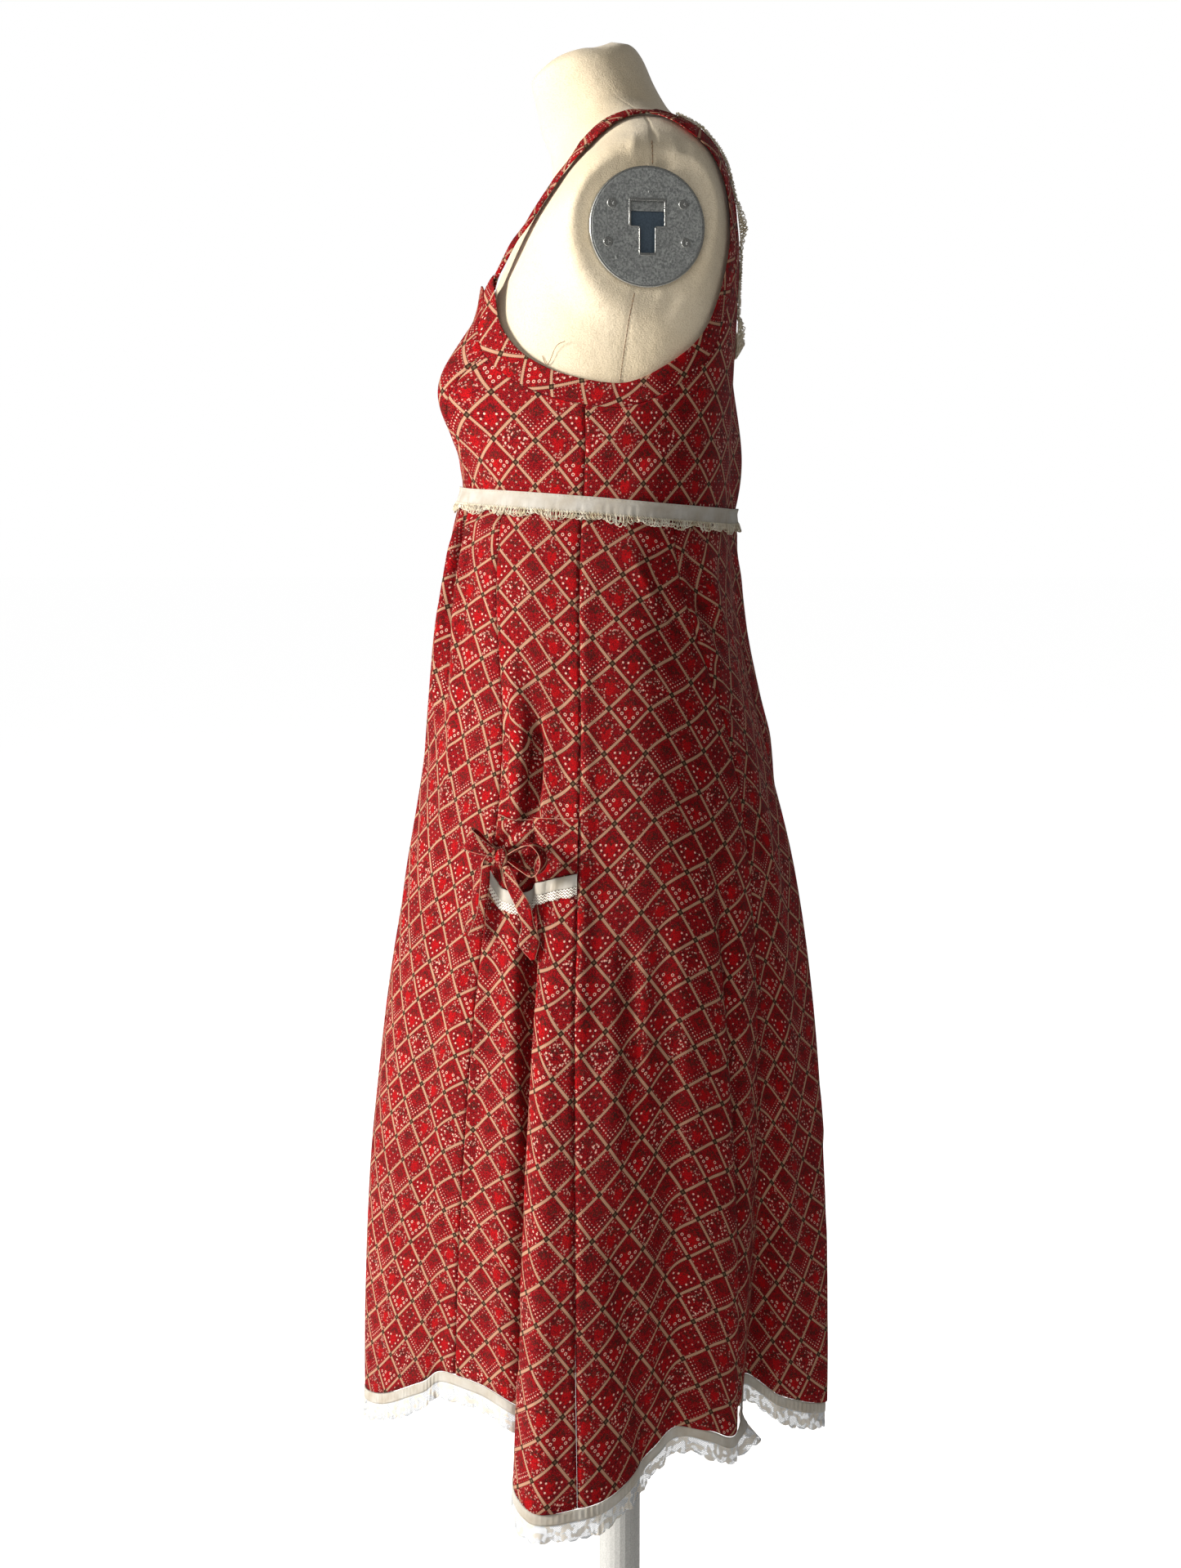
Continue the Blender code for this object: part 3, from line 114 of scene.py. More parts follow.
SKIRT_STEPS = (0.3, -0.002)     # turn and share down, the same
SLOT = {"head_wide": 0.029, "head_high": 0.021, "stem_wide": 0.013, "stem_high": 0.0215}

# %% The form's rings
# The form's skin, one row for each ring. A ring passes through its front, side and back
# points; square is 2 for an ellipse and more where the ring is fuller at its corners.
RING_COLUMNS = ("side_z", "side_x", "side_y", "front_y", "front_z", "back_y", "back_z",
                "front_square", "back_square")
RINGS = (
    (0.760, 0.146, 0.022, -0.082, 0.760, 0.120, 0.760, 2.1, 2.1),    # bottom
    (0.880, 0.162, 0.020, -0.100, 0.880, 0.130, 0.880, 2.1, 2.2),    # hips
    (0.960, 0.150, 0.014, -0.098, 0.960, 0.112, 0.960, 2.1, 2.2),
    (1.040, 0.128, 0.008, -0.090, 1.040, 0.098, 1.040, 2.1, 2.2),    # waist
    (1.115, 0.1405, 0.008, -0.106, 1.115, 0.110, 1.115, 2.1, 2.4),   # raised waist seam
    (1.150, 0.1450, 0.010, -0.108, 1.150, 0.111, 1.150, 2.1, 2.6),
    (1.200, 0.1510, 0.012, -0.108, 1.200, 0.112, 1.200, 2.1, 2.8),   # bust
    (1.250, 0.1570, 0.018, -0.098, 1.250, 0.114, 1.250, 2.2, 3.0),
    (1.300, 0.1640, 0.028, -0.080, 1.300, 0.116, 1.310, 2.2, 3.4),
    (1.345, 0.1680, 0.036, -0.062, 1.340, 0.112, 1.350, 2.1, 3.8),   # arm plates
    (1.385, 0.1560, 0.038, -0.046, 1.365, 0.104, 1.385, 2.0, 3.8),   # shoulder points
    (1.410, 0.1290, 0.038, -0.036, 1.380, 0.093, 1.405, 2.0, 3.4),
    (1.424, 0.0980, 0.034, -0.036, 1.392, 0.080, 1.420, 2.0, 2.8),
    (1.437, 0.0660, 0.022, -0.038, 1.404, 0.068, 1.434, 2.1, 2.2),   # neck root
    (1.447, 0.0530, 0.010, -0.044, 1.419, 0.060, 1.444, 2.0, 2.0),
    (1.460, 0.0500, 0.002, -0.050, 1.446, 0.050, 1.461, 2.0, 2.0),
    (1.477, 0.0475, -0.006, -0.0535, 1.463, 0.038, 1.486, 2.0, 2.0),  # rim of the neck
    (1.486, 0.0385, -0.006, -0.0440, 1.475, 0.029, 1.4950, 2.0, 2.0),
    (1.4895, 0.0240, -0.006, -0.0270, 1.4835, 0.015, 1.4975, 2.0, 2.0),
)

# %% Cut of the bodice
# How far the bodice front stands off the form: it rises straight from the bust to its top.
STAND_OFF = ((1.10, 0.002), (1.20, 0.0015), (1.24, 0.003), (1.267, 0.0045), (1.297, 0.0100),
             (1.320, 0.0065), (1.345, 0.0010), (1.50, 0.0))

# The armhole edge, from the front corner under the arm to the shoulder: turn, level
ARMHOLE = ((30.5, 1.296), (38.0, 1.272), (46.0, 1.252), (59.0, 1.229), (76.0, 1.213),
           (97.0, 1.208), (116.0, 1.226), (129.0, 1.252), (136.0, 1.290), (139.0, 1.334),
           (137.0, 1.368), (128.0, 1.396), (112.0, 1.416), (96.0, 1.4215))
# The back neckline, from the centre back to the strap: turn, level
NECKLINE = ((180.0, 1.238), (169.0, 1.243), (160.0, 1.262), (156.0, 1.295), (153.0, 1.334),
            (149.0, 1.372), (143.8, 1.397), (136.5, 1.4135), (126.5, 1.4228))
PRINCESS = ((27.0, 1.122), (28.0, 1.150), (31.0, 1.185), (36.5, 1.215), (41.5, 1.236))
SIDE_SEAM = ((81.5, 1.115), (81.0, 1.150), (80.0, 1.1935))
STRAP_PATH = ((29.5, 1.284), (29.5, 1.300), (30.0, 1.325), (32.0, 1.352), (37.0, 1.380),
              (48.0, 1.404), (66.0, 1.4175), (84.0, 1.4225), (93.5, 1.4232))
STRAP_MEETS = (0.70, 0.01)  # share of the band's end where the strap's two edges meet it
FRONT_TOP = 1.293         # top edge of the front at its middle
BACK_MIDDLE = 1.160       # centre back, level with the top of the side seam
BACK_TURNS_UP = 124.0     # turn at which the armhole rises to the shoulder

# %% Sections and hem of the skirt
# The skirt's even sections, before its folds: height, reach to the front, back and side,
# and where the side lies
SECTION_COLUMNS = ("z", "front", "back", "side", "side_y")
SECTIONS = (
    (1.123, 0.1125, 0.1155, 0.1450, 0.008),
    (1.095, 0.1205, 0.1160, 0.1480, 0.007),
    (1.053, 0.1290, 0.1165, 0.1530, 0.006),
    (1.011, 0.1360, 0.1210, 0.1590, 0.005),
    (0.948, 0.1420, 0.1340, 0.1680, 0.004),
    (0.877, 0.1480, 0.1510, 0.1750, 0.003),
    (0.784, 0.1590, 0.1680, 0.1800, 0.002),
    (0.683, 0.1720, 0.1810, 0.1850, 0.000),
    (0.559, 0.1850, 0.1920, 0.1900, 0.000),
    (0.456, 0.1950, 0.2010, 0.1930, 0.000),
    (0.300, 0.2070, 0.2080, 0.1950, 0.000),
)

# One row for each fold crest, flank, valley and seam, on the left and then on the right:
# turn at the waist seam, turn at the hips, turn at the hem, reach at the hem, height of the
# hem, and the height from which the fold grows
HEM_COLUMNS = ("waist", "hip", "turn", "reach", "height", "grows_from")
HEM_LEFT = (
    (0.0, 0.0, 0.0, 0.204, 0.335, 0.90),
    (17.0, 20.0, 13.0, 0.190, 0.341, 0.90),
    (33.0, 39.0, 27.0, 0.168, 0.362, 0.90),
    (49.0, 58.0, 40.0, 0.156, 0.377, 0.88),     # seam, front to side front
    (54.0, 63.0, 52.0, 0.153, 0.374, 0.86),
    (59.0, 67.5, 63.0, 0.156, 0.366, 0.86),
    (64.0, 71.0, 71.5, 0.138, 0.345, 0.93),     # deep valley under the bow
    (69.0, 74.5, 68.5, 0.182, 0.318, 0.80),
    (75.0, 79.0, 75.5, 0.213, 0.298, 0.84),     # large side fold
    (81.5, 84.0, 86.0, 0.207, 0.300, 0.84),     # side seam
    (89.0, 92.0, 94.0, 0.198, 0.308, 0.80),
    (96.0, 101.0, 103.0, 0.181, 0.328, 0.80),
    (102.0, 109.0, 113.0, 0.167, 0.350, 0.85),
    (107.0, 117.0, 122.0, 0.178, 0.346, 0.80),
    (112.0, 125.0, 131.0, 0.178, 0.336, 0.84),  # second fold
    (116.0, 132.0, 142.0, 0.157, 0.345, 0.88),
    (121.0, 139.0, 156.0, 0.140, 0.357, 0.92),  # seam, side back to back, in a valley
    (138.0, 152.0, 167.0, 0.166, 0.337, 0.90),
    (158.0, 166.0, 174.0, 0.190, 0.325, 0.90),
)
HEM_RIGHT = (
    (180.0, 180.0, 180.0, 0.204, 0.321, 0.90),
    (158.0, 166.0, 173.0, 0.192, 0.326, 0.90),
    (138.0, 152.0, 164.0, 0.168, 0.338, 0.90),
    (121.0, 139.0, 153.0, 0.148, 0.350, 0.92),
    (116.0, 132.0, 144.0, 0.166, 0.342, 0.88),
    (112.0, 125.0, 135.0, 0.181, 0.335, 0.84),
    (107.0, 117.0, 126.0, 0.176, 0.342, 0.80),
    (102.0, 109.0, 116.0, 0.161, 0.350, 0.85),
    (96.0, 101.0, 106.0, 0.172, 0.336, 0.80),
    (89.0, 92.0, 97.0, 0.192, 0.315, 0.80),
    (81.5, 84.0, 88.0, 0.206, 0.302, 0.84),
    (75.0, 79.0, 80.0, 0.205, 0.306, 0.84),
    (69.0, 74.5, 73.0, 0.178, 0.322, 0.80),
    (64.0, 71.0, 70.0, 0.148, 0.342, 0.93),
    (59.0, 67.5, 62.0, 0.166, 0.352, 0.86),
    (54.0, 63.0, 53.0, 0.160, 0.362, 0.86),
    (49.0, 58.0, 43.0, 0.160, 0.366, 0.88),
    (33.0, 39.0, 29.0, 0.172, 0.352, 0.90),
    (17.0, 20.0, 14.0, 0.191, 0.338, 0.90),
)
SEAM_TURNS = (49.0, 81.5, 121.0)      # front to side front, side seam, side back to back

# Smaller forms of the skirt: side (1 left, -1 right, 0 both), turn at the waist, half width
# in degrees, height of the middle, half height, and how far the cloth moves out
DENTS = (
    (0, 25.0, 4.5, 1.085, 0.120, -0.0110),   # pleat let out of the waist seam
    (0, 30.5, 4.5, 1.060, 0.150, 0.0030),
    (1, 57.0, 4.5, 0.915, 0.075, 0.0060),    # puff above the bow
    (1, 63.5, 3.5, 0.900, 0.060, -0.0080),
    (-1, 57.5, 4.5, 0.905, 0.075, 0.0055),
    (-1, 64.0, 3.5, 0.895, 0.060, -0.0075),
    (1, 57.0, 5.0, 0.828, 0.022, -0.0060),   # drawn in by the tie
    (-1, 57.0, 5.0, 0.828, 0.022, -0.0060),
    (-1, 152.0, 24.0, 1.080, 0.140, 0.0110),  # loose right half of the back
    (1, 128.0, 9.0, 1.045, 0.050, -0.0050),  # drag folds under the back of the waist
    (1, 140.0, 8.0, 1.030, 0.050, 0.0050),
)
BACK_PUFF = {"turn": -152.0, "half_turn": 26.0, "z": 1.140, "half_z": 0.130, "out": 0.020}

TOP_FADE = 0.06           # share of the skirt over which its top leaves the bodice edge
SKIRT_SQUARE = (2.1, 2.2)  # fullness of its even sections' corners, front and back
DRIFT = {"from": 1.10, "over": 0.19}    # heights where the gores spread to the hips
FOLD_POWER = 1.15         # how late the folds grow on their way to the hem
DENTS_FROM = 0.035        # the seam holds the cloth flat above this share

# %% Pockets and bows
# The pocket's edges along the gore, from its front end to the side seam
POCKET = {"share": (0.0, 0.12, 0.30, 0.55, 1.0), "top": (0.861, 0.859, 0.858, 0.860, 0.860),
          "bottom": (0.816, 0.802, 0.800, 0.809, 0.817), "tape": 0.011, "lace": 0.008,
          "gap": 0.0009}
BOW = {"turn": 54.0, "z": 0.828, "facing": 63.0, "knot": (0.012, 0.015, 0.010),
       "knot_out": 0.0125}
# Bow ribbons, in mm: back, up, out, width, and the direction of the width (back, up, out)
BOW_RIBBONS = (
    ("bow_loop_back_", ((6.0, 2.5, 12.5, 5, 0.1, 0.1, 1), (17, 8.5, 13, 9, 0.1, 0.1, 1),
                        (29, 12.5, 14, 12, 0.1, 0.0, 1), (37, 6, 14.5, 13, 0.1, 0.0, 1),
                        (38, -4, 14.5, 13, 0.1, 0.0, 1), (31, -12, 14, 12, 0.1, -0.1, 1),
                        (18, -8, 13, 9, 0.1, -0.1, 1), (6.0, -2.5, 12.5, 5, 0.1, -0.1, 1))),
    ("bow_loop_front_", ((-5.8, 3.5, 14.0, 5, 0.2, 1, 0.0), (-15, 7.5, 18.5, 10, 0.3, 1, 0.0),
                         (-25, 12, 19.5, 14, 0.4, 1, 0.0), (-30.5, 14.5, 15, 15, 0.4, 1, 0.0),
                         (-26, 12.5, 10.5, 14, 0.4, 1, 0.0), (-16, 7.5, 10.5, 9, 0.3, 1, 0.0),
                         (-5.8, 3.5, 11.0, 5, 0.2, 1, 0.0))),
    ("bow_tail_front_", ((-6.7, -3.9, 12.0, 5, 0.3, 1, 0.0), (-15, -4, 14.5, 8, 0.5, 1, 0.3),
                         (-21, -12, 14, 10, 1, 0.4, 0.6), (-24, -29, 13.5, 11, 1, 0.1, 0.7),
                         (-27, -47, 13.5, 11, 1, 0.1, 0.6), (-33, -66, 14.5, 6, 1, 0.3, 0.4))),
    ("bow_tail_back_", ((2.5, -6.9, 12.5, 6, 1, 0.1, 0.2), (9, -22, 12.0, 11, 1, 0.1, 0.2),
                        (18, -38, 11.5, 12, 1, 0.2, 0.1), (22, -54, 10.5, 9, 1, 0.1, -0.1),
                        (23, -68, 10.0, 15, 1, 0.2, -0.2), (27, -82, 10.5, 3, 1, 0.3, -0.2))),
)

# %% Smooth curves through a table
def between_rows(xs, ys, tangent, at):
    """Cubic pieces through a table's rows, with a given slope at each."""
    at = np.clip(at, xs[0], xs[-1])
    i = np.clip(np.searchsorted(xs, at, side="right") - 1, 0, len(xs) - 2)
    width = xs[i + 1] - xs[i]
    s = (at - xs[i]) / width
    return (ys[i] * (1 + 2 * s) * (1 - s) ** 2 + ys[i + 1] * s * s * (3 - 2 * s)
            + width * (tangent[i] * s * (1 - s) ** 2 - tangent[i + 1] * s * s * (1 - s)))


def eased(xs, ys, at):
    """Smooth curve through a table, with no overshoot: the slope at each row is the harmonic
    mean of its neighbours' slopes, or 0 at a crest or valley."""
    xs, ys = np.asarray(xs, float), np.asarray(ys, float)
    slopes = np.diff(ys) / np.diff(xs)
    inner = np.zeros(len(xs) - 2)
    same = slopes[1:] * slopes[:-1] > 0
    inner[same] = 2.0 / (1.0 / slopes[1:][same] + 1.0 / slopes[:-1][same])
    return between_rows(xs, ys, np.concatenate([[slopes[0]], inner, [slopes[-1]]]), at)


def rounded(xs, ys, at):
    """Smooth curve through a table, with the slope at each row that of its two neighbours."""
    xs, ys = np.asarray(xs, float), np.asarray(ys, float)
    return between_rows(xs, ys, np.gradient(ys, xs), at)


def column(table, columns, name):
    """One named column of a table."""
    return np.array([row[columns.index(name)] for row in table])


def smoothstep(x):
    """0 below 0, 1 above 1, and an S curve between."""
    x = np.clip(x, 0.0, 1.0)
    return x * x * (3 - 2 * x)


def rises(at, start, length):
    """An S curve from 0 at the start to 1 a length further on."""
    return smoothstep((at - start) / length)


def bell(distance):
    """1 at 0, falling smoothly to 0 at 1."""
    return smoothstep(1.0 - np.abs(distance))


def half_round(turn):
    """The same turn, between -180 and 180."""
    return (turn + 180.0) % 360.0 - 180.0


def level_way(points):
    """Unit way out from the middle axis, level with the floor."""
    out = points * np.array([1.0, 1.0, 0.0])
    return out / np.linalg.norm(out, axis=-1, keepdims=True)


def gone_along(path):
    """Distance gone along a path of points, at each of them."""
    steps = np.linalg.norm(np.diff(path, axis=0), axis=1)
    return np.concatenate([[0.0], np.cumsum(steps)])


def lame(turn, side, front, back, side_y, square_front, square_back):
    """Point of a rounded oval in plan: a unit oval |x|^p + |y|^p = 1 stretched to its reach."""
    sine, cosine = np.sin(turn), np.cos(turn)
    ahead = cosine > 0
    power = np.where(ahead, square_front, square_back)
    radius = (np.abs(sine) ** power + np.abs(cosine) ** power) ** (-1.0 / power)
    depth = np.where(ahead, side_y + front, back - side_y)
    return side * radius * sine, side_y - depth * radius * cosine


def plate_plane(y):
    """X of the flat shoulder end at y, on the left side."""
    return PLATE["x"] - (y - PLATE["y"]) * np.tan(np.radians(PLATE["yaw"]))


def skin(turn, level):
    """The form's skin at a turn in degrees and a ring level in metres."""
    turn = np.radians(turn)
    levels = column(RINGS, RING_COLUMNS, "side_z")
    ring = {name: eased(levels, column(RINGS, RING_COLUMNS, name), level)
            for name in RING_COLUMNS}
    x, y = lame(turn, ring["side_x"], -ring["front_y"], ring["back_y"], ring["side_y"],
                ring["front_square"], ring["back_square"])
    end_z = np.where(np.cos(turn) > 0, ring["front_z"], ring["back_z"])
    z = ring["side_z"] + (end_z - ring["side_z"]) * np.cos(turn) ** 2
    bust = np.exp(-((np.abs(x) - BUST["x"]) / BUST["wide"]) ** 2
                  - ((z - BUST["z"]) / BUST["high"]) ** 2)
    y = y - BUST["out"] * bust * np.clip(3.0 * np.cos(turn), 0.0, 1.0)
    away = np.hypot(y - PLATE["y"], z - PLATE["z"])
    flat = smoothstep((PLATE["fade_to"] - away) / (PLATE["fade_to"] - PLATE["flat_to"]))
    to_plane = plate_plane(y) - PLATE["depth"] - PLATE["clear"] - np.abs(x)
    fills = smoothstep((PLATE["y"] + 0.03 - y) / 0.04)
    to_plane = np.minimum(to_plane, 0.0) + fills * np.maximum(to_plane, 0.0)
    x = x + np.sign(x) * to_plane * flat * smoothstep((np.abs(x) - 0.09) / 0.03)
    return np.stack(np.broadcast_arrays(x, y, z), axis=-1)


def normal_of(surface, a, b, steps=BODICE_STEPS):
    """Unit normal of a surface of two parameters, from its two slopes, pointing outwards."""
    step_a, step_b = steps
    along = surface(a + step_a, b) - surface(a - step_a, b)
    up = surface(a, b + step_b) - surface(a, b - step_b)
    normal = np.cross(along, up)
    return normal / np.maximum(np.linalg.norm(normal, axis=-1, keepdims=True), 1e-12)


def bodice_face(turn, level):
    """Outer face of the bodice: the skin moved out, with the front standing off it."""
    turn = np.asarray(turn, float)
    level = np.asarray(level, float)
    point = skin(turn, level) + EASE * normal_of(skin, turn, level)
    table = np.array(STAND_OFF)
    ahead = np.clip(1.6 * np.cos(np.radians(turn)), 0.0, 1.0)
    point[..., 1] -= eased(table[:, 0], table[:, 1], level) * smoothstep(ahead)
    signed = half_round(turn)
    puff = (bell((signed - BACK_PUFF["turn"]) / BACK_PUFF["half_turn"])
            * bell((level - BACK_PUFF["z"]) / BACK_PUFF["half_z"]))
    point[..., 1] += BACK_PUFF["out"] * puff
    return point


def bodice(turn, level, lift=0.0):
    """A point of the bodice, lifted off its outer face."""
    normal = normal_of(bodice_face, np.asarray(turn, float), np.asarray(level, float))
    return bodice_face(turn, level) + np.asarray(lift)[..., None] * normal


def beside(turn, level, distance):
    """The curve (turn, level) moved sideways on the bodice by a distance, to its right as it
    is followed, seen from outside."""
    at = bodice_face(turn, level)
    along = np.gradient(at, axis=0)
    along /= np.linalg.norm(along, axis=1, keepdims=True)
    sideways = np.cross(along, normal_of(bodice_face, turn, level))
    per_turn = (bodice_face(turn + 0.5, level) - bodice_face(turn - 0.5, level))
    step = BODICE_STEPS[1]
    per_level = (bodice_face(turn, level + step) - bodice_face(turn, level - step)) / (2 * step)
    new_turn = turn + distance * (sideways * per_turn).sum(1) / (per_turn ** 2).sum(1)
    new_level = level + distance * (sideways * per_level).sum(1) / (per_level ** 2).sum(1)
    return new_turn, new_level


def seam_level(turn):
    """Height of the raised waist seam."""
    middle = 0.5 * (SEAM_FRONT + SEAM_BACK)
    return middle + 0.5 * (SEAM_FRONT - SEAM_BACK) * np.cos(np.radians(turn))


def hem_rows():
    """The two hem tables as one ring of rows, with turns that rise from 0 to 360."""
    rows = [list(row) for row in HEM_LEFT]
    rows += [[360 - row[0], 360 - row[1], 360 - row[2], *row[3:]] for row in HEM_RIGHT]
    return np.array(rows)


HEM = hem_rows()


def hem_value(turn, name):
    """A hem column at a waist turn, as a smooth closed curve through its rows."""
    values = HEM[:, HEM_COLUMNS.index(name)]
    growing = name in ("hip", "turn")
    before = values - 360.0 if growing else values
    after = values + 360.0 if growing else values
    xs = np.concatenate([HEM[:, 0] - 360.0, HEM[:, 0], HEM[:, 0] + 360.0])
    return rounded(xs, np.concatenate([before, values, after]), turn)


def hem_point(turn):
    """Where the cloth ends at a waist turn."""
    angle = np.radians(hem_value(turn, "turn"))
    reach = hem_value(turn, "reach")
    return np.stack([reach * np.sin(angle), -reach * np.cos(angle),
                     hem_value(turn, "height")], axis=-1)


def even_section(angle, z):
    """A point of the skirt's even section at an angle in radians and a height."""
    heights = column(SECTIONS, SECTION_COLUMNS, "z")[::-1]
    part = {name: eased(heights, column(SECTIONS, SECTION_COLUMNS, name)[::-1], z)
            for name in SECTION_COLUMNS}
    front, back = SKIRT_SQUARE
    x, y = lame(angle, part["side"], part["front"], part["back"], part["side_y"],
                front + 0.0 * z, back + 0.0 * z)
    return np.stack([x, y, z], axis=-1)


def skirt_face(turn, down):
    """Outer face of the skirt at a waist turn and a share down from seam to hem. It starts on
    the bodice's edge, follows the even sections, and turns into the hem's folds."""
    turn, down = np.broadcast_arrays(np.asarray(turn, float), np.asarray(down, float))
    hem = hem_point(turn)
    top = seam_level(turn) - SKIRT_DROP
    z = top + (hem[..., 2] - top) * down
    drift = smoothstep((DRIFT["from"] - z) / DRIFT["over"])
    angle = np.radians(turn + (hem_value(turn, "hip") - turn) * drift)
    point = even_section(angle, z)
    edge = bodice_face(turn, seam_level(turn))
    first = even_section(np.radians(turn), seam_level(turn))
    near_top = bell(down / TOP_FADE)[..., None]
    point = point + (edge - first) * np.array([1.0, 1.0, 0.0]) * near_top
    start = hem_value(turn, "grows_from")
    grown = np.clip((start - z) / (start - hem[..., 2]), 0.0, 1.0) ** FOLD_POWER
    point[..., :2] += (hem - point)[..., :2] * grown[..., None]
    outward = level_way(point)
    signed = half_round(turn)
    for side, at, half_turn, middle, half_z, out in DENTS:
        for sign in ((1, -1) if side == 0 else (side,)):
            share = bell((signed - sign * at) / half_turn) * bell((z - middle) / half_z)
            share = share * smoothstep(down / DENTS_FROM)
            point = point + outward * (out * share)[..., None]
    return point


def pull_in(points, amount, sides="lrtb"):
    """Draw the edge rows and columns of a grid in by an amount, which leaves the seam gap."""
    moved = points.copy()
    edges = {"l": (np.s_[:, 0], np.s_[:, 1]), "r": (np.s_[:, -1], np.s_[:, -2]),
             "t": (np.s_[0], np.s_[1]), "b": (np.s_[-1], np.s_[-2])}
    for side in sides:
        edge, inner = edges[side]
        step = points[inner] - points[edge]
        moved[edge] += amount * step / np.linalg.norm(step, axis=-1, keepdims=True)
    return moved


# %% [markdown]
# ## From grids to cloth
# A sheet of cloth is two grids of points, its face and its back, and the rim between them.
# Solidify could make the back, but it moves points along averaged normals and then the seams
# of two gores no longer meet, so both faces are worked out here. The same numbers, taken
# one row and one column on, are the corners of every face, so no loop runs over points.
# Each wall has a UV map called cut, in metres: where the point lies on the flat cloth.

# %% Corners of a wall
HOME = np.array([0.0, -POLE_Y, 0.0])    # from the middle of the skirt to the stand's axis


def cells(numbers):
    """The four corners of each cell of a grid of point numbers."""
    corners = [numbers[:-1, :-1], numbers[:-1, 1:], numbers[1:, 1:], numbers[1:, :-1]]
    return np.stack(corners, axis=-1).reshape(-1, 4)


def rim(line, count):
    """Faces that join a line of the face to the same line of the back."""
    return np.stack([line[:-1], line[1:], line[1:] + count, line[:-1] + count], axis=-1)


def wall_corners(rows, columns, around):
    """Point numbers at the corners of a closed wall's faces, and their places in its cut."""
    across = columns + 1 if around else columns
    r, c = np.meshgrid(np.arange(rows), np.arange(across), indexing="ij")
    point = r * columns + c % columns
    place = r * across + c
    lists = []
    for numbers, count in ((point, rows * columns), (place, 0)):
        parts = [cells(numbers), cells(numbers)[:, ::-1] + count,
                 rim(numbers[0, ::-1], count), rim(numbers[-1], count)]
        if not around:
            parts += [rim(numbers[:, 0], count), rim(numbers[::-1, -1], count)]
        lists.append(np.concatenate(parts))
    return lists


# %% Points and faces into a mesh
def lay(name, points, quads, finish, cut=None):
    """A mesh object from arrays. Its faces point outwards: the sum of the small volumes
    between each face and the origin is made positive."""
    p = points[quads]
    volume = (np.cross(p[:, 1] - p[:, 0], p[:, 2] - p[:, 0]) * p[:, 0]).sum()
    volume += (np.cross(p[:, 2] - p[:, 0], p[:, 3] - p[:, 0]) * p[:, 0]).sum()
    if volume < 0:
        quads = quads[:, ::-1]
        cut = None if cut is None else cut[:, ::-1]
    mesh = bpy.data.meshes.new(name)
    mesh.vertices.add(len(points))
    mesh.vertices.foreach_set("co", (points + HOME).astype(np.float32).ravel())
    mesh.loops.add(quads.size)
    mesh.loops.foreach_set("vertex_index", quads.astype(np.int32).ravel())
    mesh.polygons.add(len(quads))
    mesh.polygons.foreach_set("loop_start", np.arange(0, quads.size, 4, dtype=np.int32))
    mesh.update(calc_edges=True)
    if cut is not None:
        layer = mesh.uv_layers.new(name="cut")
        layer.data.foreach_set("uv", cut.astype(np.float32).ravel())
    mesh.shade_smooth()
    mesh.materials.append(finish)
    made = bpy.data.objects.new(name, mesh)
    bpy.context.collection.objects.link(made)
    return made


def measured(grid, around=False):
    """Longest row, longest column and area of a grid of points."""
    line = np.concatenate([grid, grid[:, :1]], axis=1) if around else grid
    wide = np.linalg.norm(np.diff(line, axis=1), axis=2).sum(axis=1).max()
    long = np.linalg.norm(np.diff(line, axis=0), axis=2).sum(axis=0).max()
    one, other = line[1:, 1:] - line[:-1, :-1], line[1:, :-1] - line[:-1, 1:]
    return wide, long, 0.5 * np.linalg.norm(np.cross(one, other), axis=2).sum()


# %% One sheet of the garment
def place(piece, slot, *nodes):
    """The piece rides on the part and stands for its nodes."""
    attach(piece, "root")
    if nodes:
        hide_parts(*nodes)
    return piece


def sheet(name, nodes, outer, inner, cut, finish, slot,
          around=False):
    """A sheet of cloth between two grids, whose size over its face is printed."""
    rows, columns = outer.shape[:2]
    quads, places = wall_corners(rows, columns, around)
    points = np.concatenate([outer.reshape(-1, 3), inner.reshape(-1, 3)])
    piece = lay(name, points, quads, finish, cut.reshape(-1, 2)[places])
    place(piece, slot, *nodes)
    wide, long, area = measured(outer, around)
    print(f"{name}: {wide * 1000:.0f} x {long * 1000:.0f} mm, {2 * len(quads)} triangles")
    return piece


def turned_cut(cut, angle, shift=(0.0, 0.0)):
    """The print lies turned and shifted on each piece, as it was cut."""
    a = math.radians(angle)
    spin = np.array([[math.cos(a), math.sin(a)], [-math.sin(a), math.cos(a)]])
    return cut @ spin + np.array(shift)


# %% [markdown]
# ## A print from arithmetic
# The calico is a patchwork print: a lattice of tan lines, and in each diamond a small motif.
# An image would be the usual way. Here the print is worked out by nodes instead, so it stays
# sharp at any distance. Node by node that is slow to write, so `Field` lets plain arithmetic
# make the nodes: adding two fields adds one Math node.

